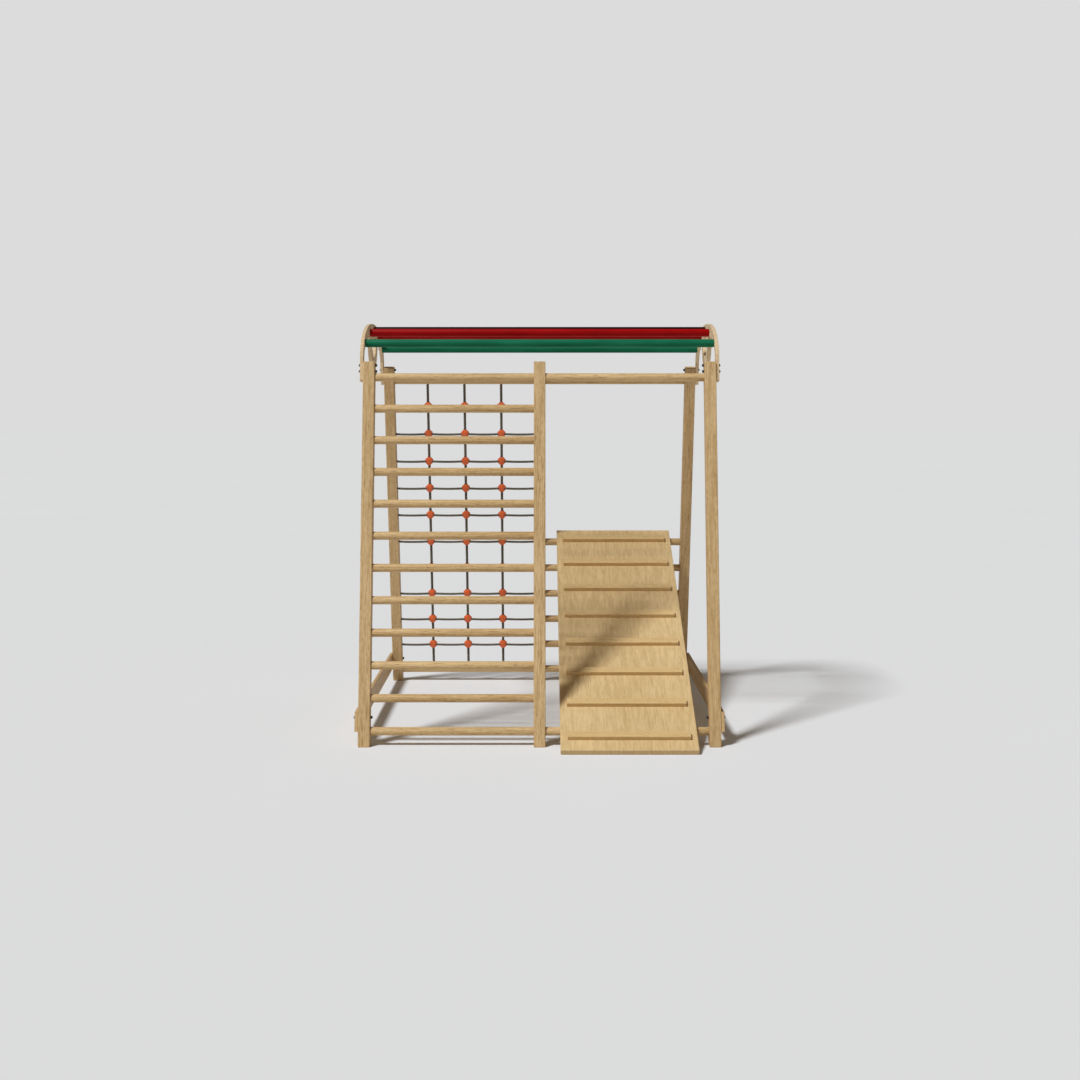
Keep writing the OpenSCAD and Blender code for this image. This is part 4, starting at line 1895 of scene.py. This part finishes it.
@dataclass
class Fittings:
    """Bolts with domed heads, cap nuts, and the screws in the ends of the bars."""

    bolt: Bolt = Bolt(head=0.011, height=0.0045, shank=0.006)
    bar_screw: Bolt = Bolt(head=0.008, height=0.003, shank=0.004)
    head_edge: float = 0.35        # the straight side of a head, as a share of its height
    dome: tuple[Point2, ...] = ((0.86, 0.35), (0.7, 0.3))   # narrowing and rise of each step
    socket: float = 0.0042         # across the corners of the hexagon in a bolt's head
    socket_depth: float = 0.0024
    rounding: float = 0.0005
    nut: float = 0.011             # across the corners of a nut
    nut_base: float = 0.0042       # the height of its hexagon
    nut_full: float = 0.007        # its height with the cap
    cap_share: float = 0.78        # the cap's diameter, as a share of the nut
    cap_rounding: float = 0.0026
    cap_sunk: float = 0.001        # how far the cap reaches into the hexagon

    def build(self) -> None:
        """Makes every fitting of the frame."""
        for node in ("arch_bolts", "rail_bolts"):
            self.copy_along(node, self.model_bolt(node, self.bolt), 1.0)
        self.copy_along("bar_screws", self.model_bolt("bar_screws", self.bar_screw), 1.0)
        for node in ("arch_nuts", "rail_nuts"):
            self.copy_along(node, self.model_nut(), -1.0)

    def copy_along(self, node: str, model: bpy.types.Object, outward: float) -> None:
        """Puts a fitting in the place of each of a node's solids.

        Args:
            node: the node.
            model: the fitting, along Z with its seen end at Z = 0 and its body below.
            outward: 1 if its seen end faces out of the frame, -1 if it faces in.
        """
        copies = []
        for low, high in solids_of(node):
            middle = (low + high) / 2
            side = math.copysign(1.0, middle.x) * outward
            tip = high.x if side > 0 else low.x
            turn = Matrix.Rotation(side * math.pi / 2, 4, "Y")
            copies.append(copy_of(model, "fitting",
                                  Matrix.Translation((tip, middle.y, middle.z)) @ turn))
        bpy.data.meshes.remove(model.data)
        hand_over(join(node, copies), node, Finish.BLACK_STEEL)

    def model_bolt(self, node: str, size: Bolt) -> bpy.types.Object:
        """A bolt with a domed head that has a hexagon socket.

        Args:
            node: a node that gives its length.
            size: its other sizes.

        Returns:
            The bolt, with its head's top at Z = 0.
        """
        low, high = solids_of(node)[0]
        bolt = add_rod("bolt", size.head, size.height * self.head_edge, HEAD_SIDES)
        for narrowing, rise in self.dome:
            push_end(bolt, 1.0, narrowing, size.height * rise)
        push_end(bolt, -1.0, size.shank / size.head, high.x - low.x - size.height)
        round_edges(bolt, self.rounding, angle=12.0)
        move(bolt, Matrix.Translation((0.0, 0.0, -size.height)))
        reach = self.socket * size.head / self.bolt.head
        key = add_rod("key", reach, 2 * self.socket_depth, HEXAGON)
        move(key, Matrix.Translation((0.0, 0.0, -self.socket_depth)))
        cut_away(bolt, [key])
        smooth(bolt, ROUND_CREASE)
        return bolt

    def model_nut(self) -> bpy.types.Object:
        """A hexagon nut with a domed cap, its top at Z = 0."""
        nut = add_rod("nut", self.nut, self.nut_base, HEXAGON)
        round_edges(nut, self.rounding, 2, 50.0)
        foot = self.nut_base - self.cap_sunk
        cap = add_rod("cap", self.nut * self.cap_share, self.nut_full - foot, HEAD_SIDES)
        round_edges(cap, self.cap_rounding, 5, 60.0)
        move(cap, Matrix.Translation((0.0, 0.0, foot)))
        apply_modifier(nut, "BOOLEAN", operation="UNION", solver="EXACT", object=cap)
        bpy.data.meshes.remove(cap.data)
        move(nut, Matrix.Translation((0.0, 0.0, -self.nut_full)))
        smooth(nut, STEEL_CREASE)
        return nut


# The studio -----------------------------------------------------------------------------------


@dataclass
class Studio:
    """The pale floor, the light and the camera."""

    camera_back: float = 4.9177     # in front of the front feet
    camera_up: float = 1.1387
    camera_side: float = 0.0014
    pitch: float = math.radians(5.158)
    lens: float = 50.0
    sensor: float = 36.0
    view_reach: float = 200.0
    floor_reach: float = 60.0
    floor_grey: float = 0.8
    floor_clouds: Scale = (0.8, 0.8, 0.8)
    floor_range: Range = (0.985, 1.015)    # how far the grey varies
    backdrop: float = 0.715
    key_way: tuple[float, float, float] = (-0.5, -0.49, 1.0)   # from the object to the light
    key_strength: float = 2.8
    key_colour: Colour = (0.965, 1.0, 1.04)
    key_angle: float = math.radians(10.5)
    sky: Colour = (0.185, 0.163, 0.14)

    def build(self) -> None:
        """Sets up the whole studio."""
        self.build_floor()
        self.build_light()
        self.build_camera()

    def build_floor(self) -> None:
        """A large flat floor in plain pale grey."""
        deselect_all()
        bpy.ops.mesh.primitive_plane_add(size=2 * self.floor_reach)
        floor = bpy.context.object
        floor.name = floor.data.name = "floor"
        shader = Shader("studio_floor")
        place = shader.node("ShaderNodeTexCoord", result="Object")
        cloud = shader.noise(place, self.floor_clouds)
        dark, light = ((self.floor_grey * part,) * 3 for part in self.floor_range)
        pale = shader.mix(cloud, dark, light)
        floor.data.materials.append(
            shader.finish(Base_Color=pale, Roughness=1.0, Specular_IOR_Level=0.0))

    def build_light(self) -> None:
        """One key light from high on the left in front, and an even sky."""
        light = bpy.data.lights.new("key", "SUN")
        light.energy = self.key_strength
        light.angle = self.key_angle
        light.color = self.key_colour
        key = bpy.data.objects.new("key", light)
        key.rotation_euler = Vector(self.key_way).to_track_quat("Z", "Y").to_euler()
        bpy.context.scene.collection.objects.link(key)
        bpy.context.scene.world = self.build_world()
        bpy.context.scene.view_settings.view_transform = "Standard"

    def build_world(self) -> bpy.types.World:
        """An even sky that fills the shadows, behind a paler backdrop that only shows.

        Returns:
            The world.
        """
        world = bpy.data.worlds.new("studio")
        world.use_nodes = True
        tree = world.node_tree
        sky = tree.nodes["Background"]
        sky.inputs["Color"].default_value = (*self.sky, 1.0)
        seen = tree.nodes.new("ShaderNodeBackground")
        seen.inputs["Color"].default_value = (self.backdrop,) * 3 + (1.0,)
        path = tree.nodes.new("ShaderNodeLightPath")
        mix = tree.nodes.new("ShaderNodeMixShader")
        tree.links.new(path.outputs["Is Camera Ray"], mix.inputs[0])
        tree.links.new(sky.outputs[0], mix.inputs[1])
        tree.links.new(seen.outputs[0], mix.inputs[2])
        tree.links.new(mix.outputs[0], tree.nodes["World Output"].inputs["Surface"])
        return world

    def build_camera(self) -> None:
        """The camera, level across and tipped a little down."""
        data = bpy.data.cameras.new("camera")
        data.lens = self.lens
        data.sensor_width = self.sensor
        data.clip_end = self.view_reach
        camera = bpy.data.objects.new("camera", data)
        front = SKELETON.middle - SKELETON.half_depth
        camera.location = (self.camera_side, front - self.camera_back, self.camera_up)
        camera.rotation_euler = (math.pi / 2 - self.pitch, 0.0, 0.0)
        bpy.context.scene.collection.objects.link(camera)
        bpy.context.scene.camera = camera


def main() -> None:
    """Builds the studio and every sub-assembly in order."""
    logging.basicConfig(level=logging.INFO, format="%(name)s: %(message)s")
    Studio().build()
    LadderFrames().build()
    Arches().build()
    SideRails().build()
    Ramp().build()
    RopeNet().build()
    Fittings().build()


if __name__ == "__main__":
    main()
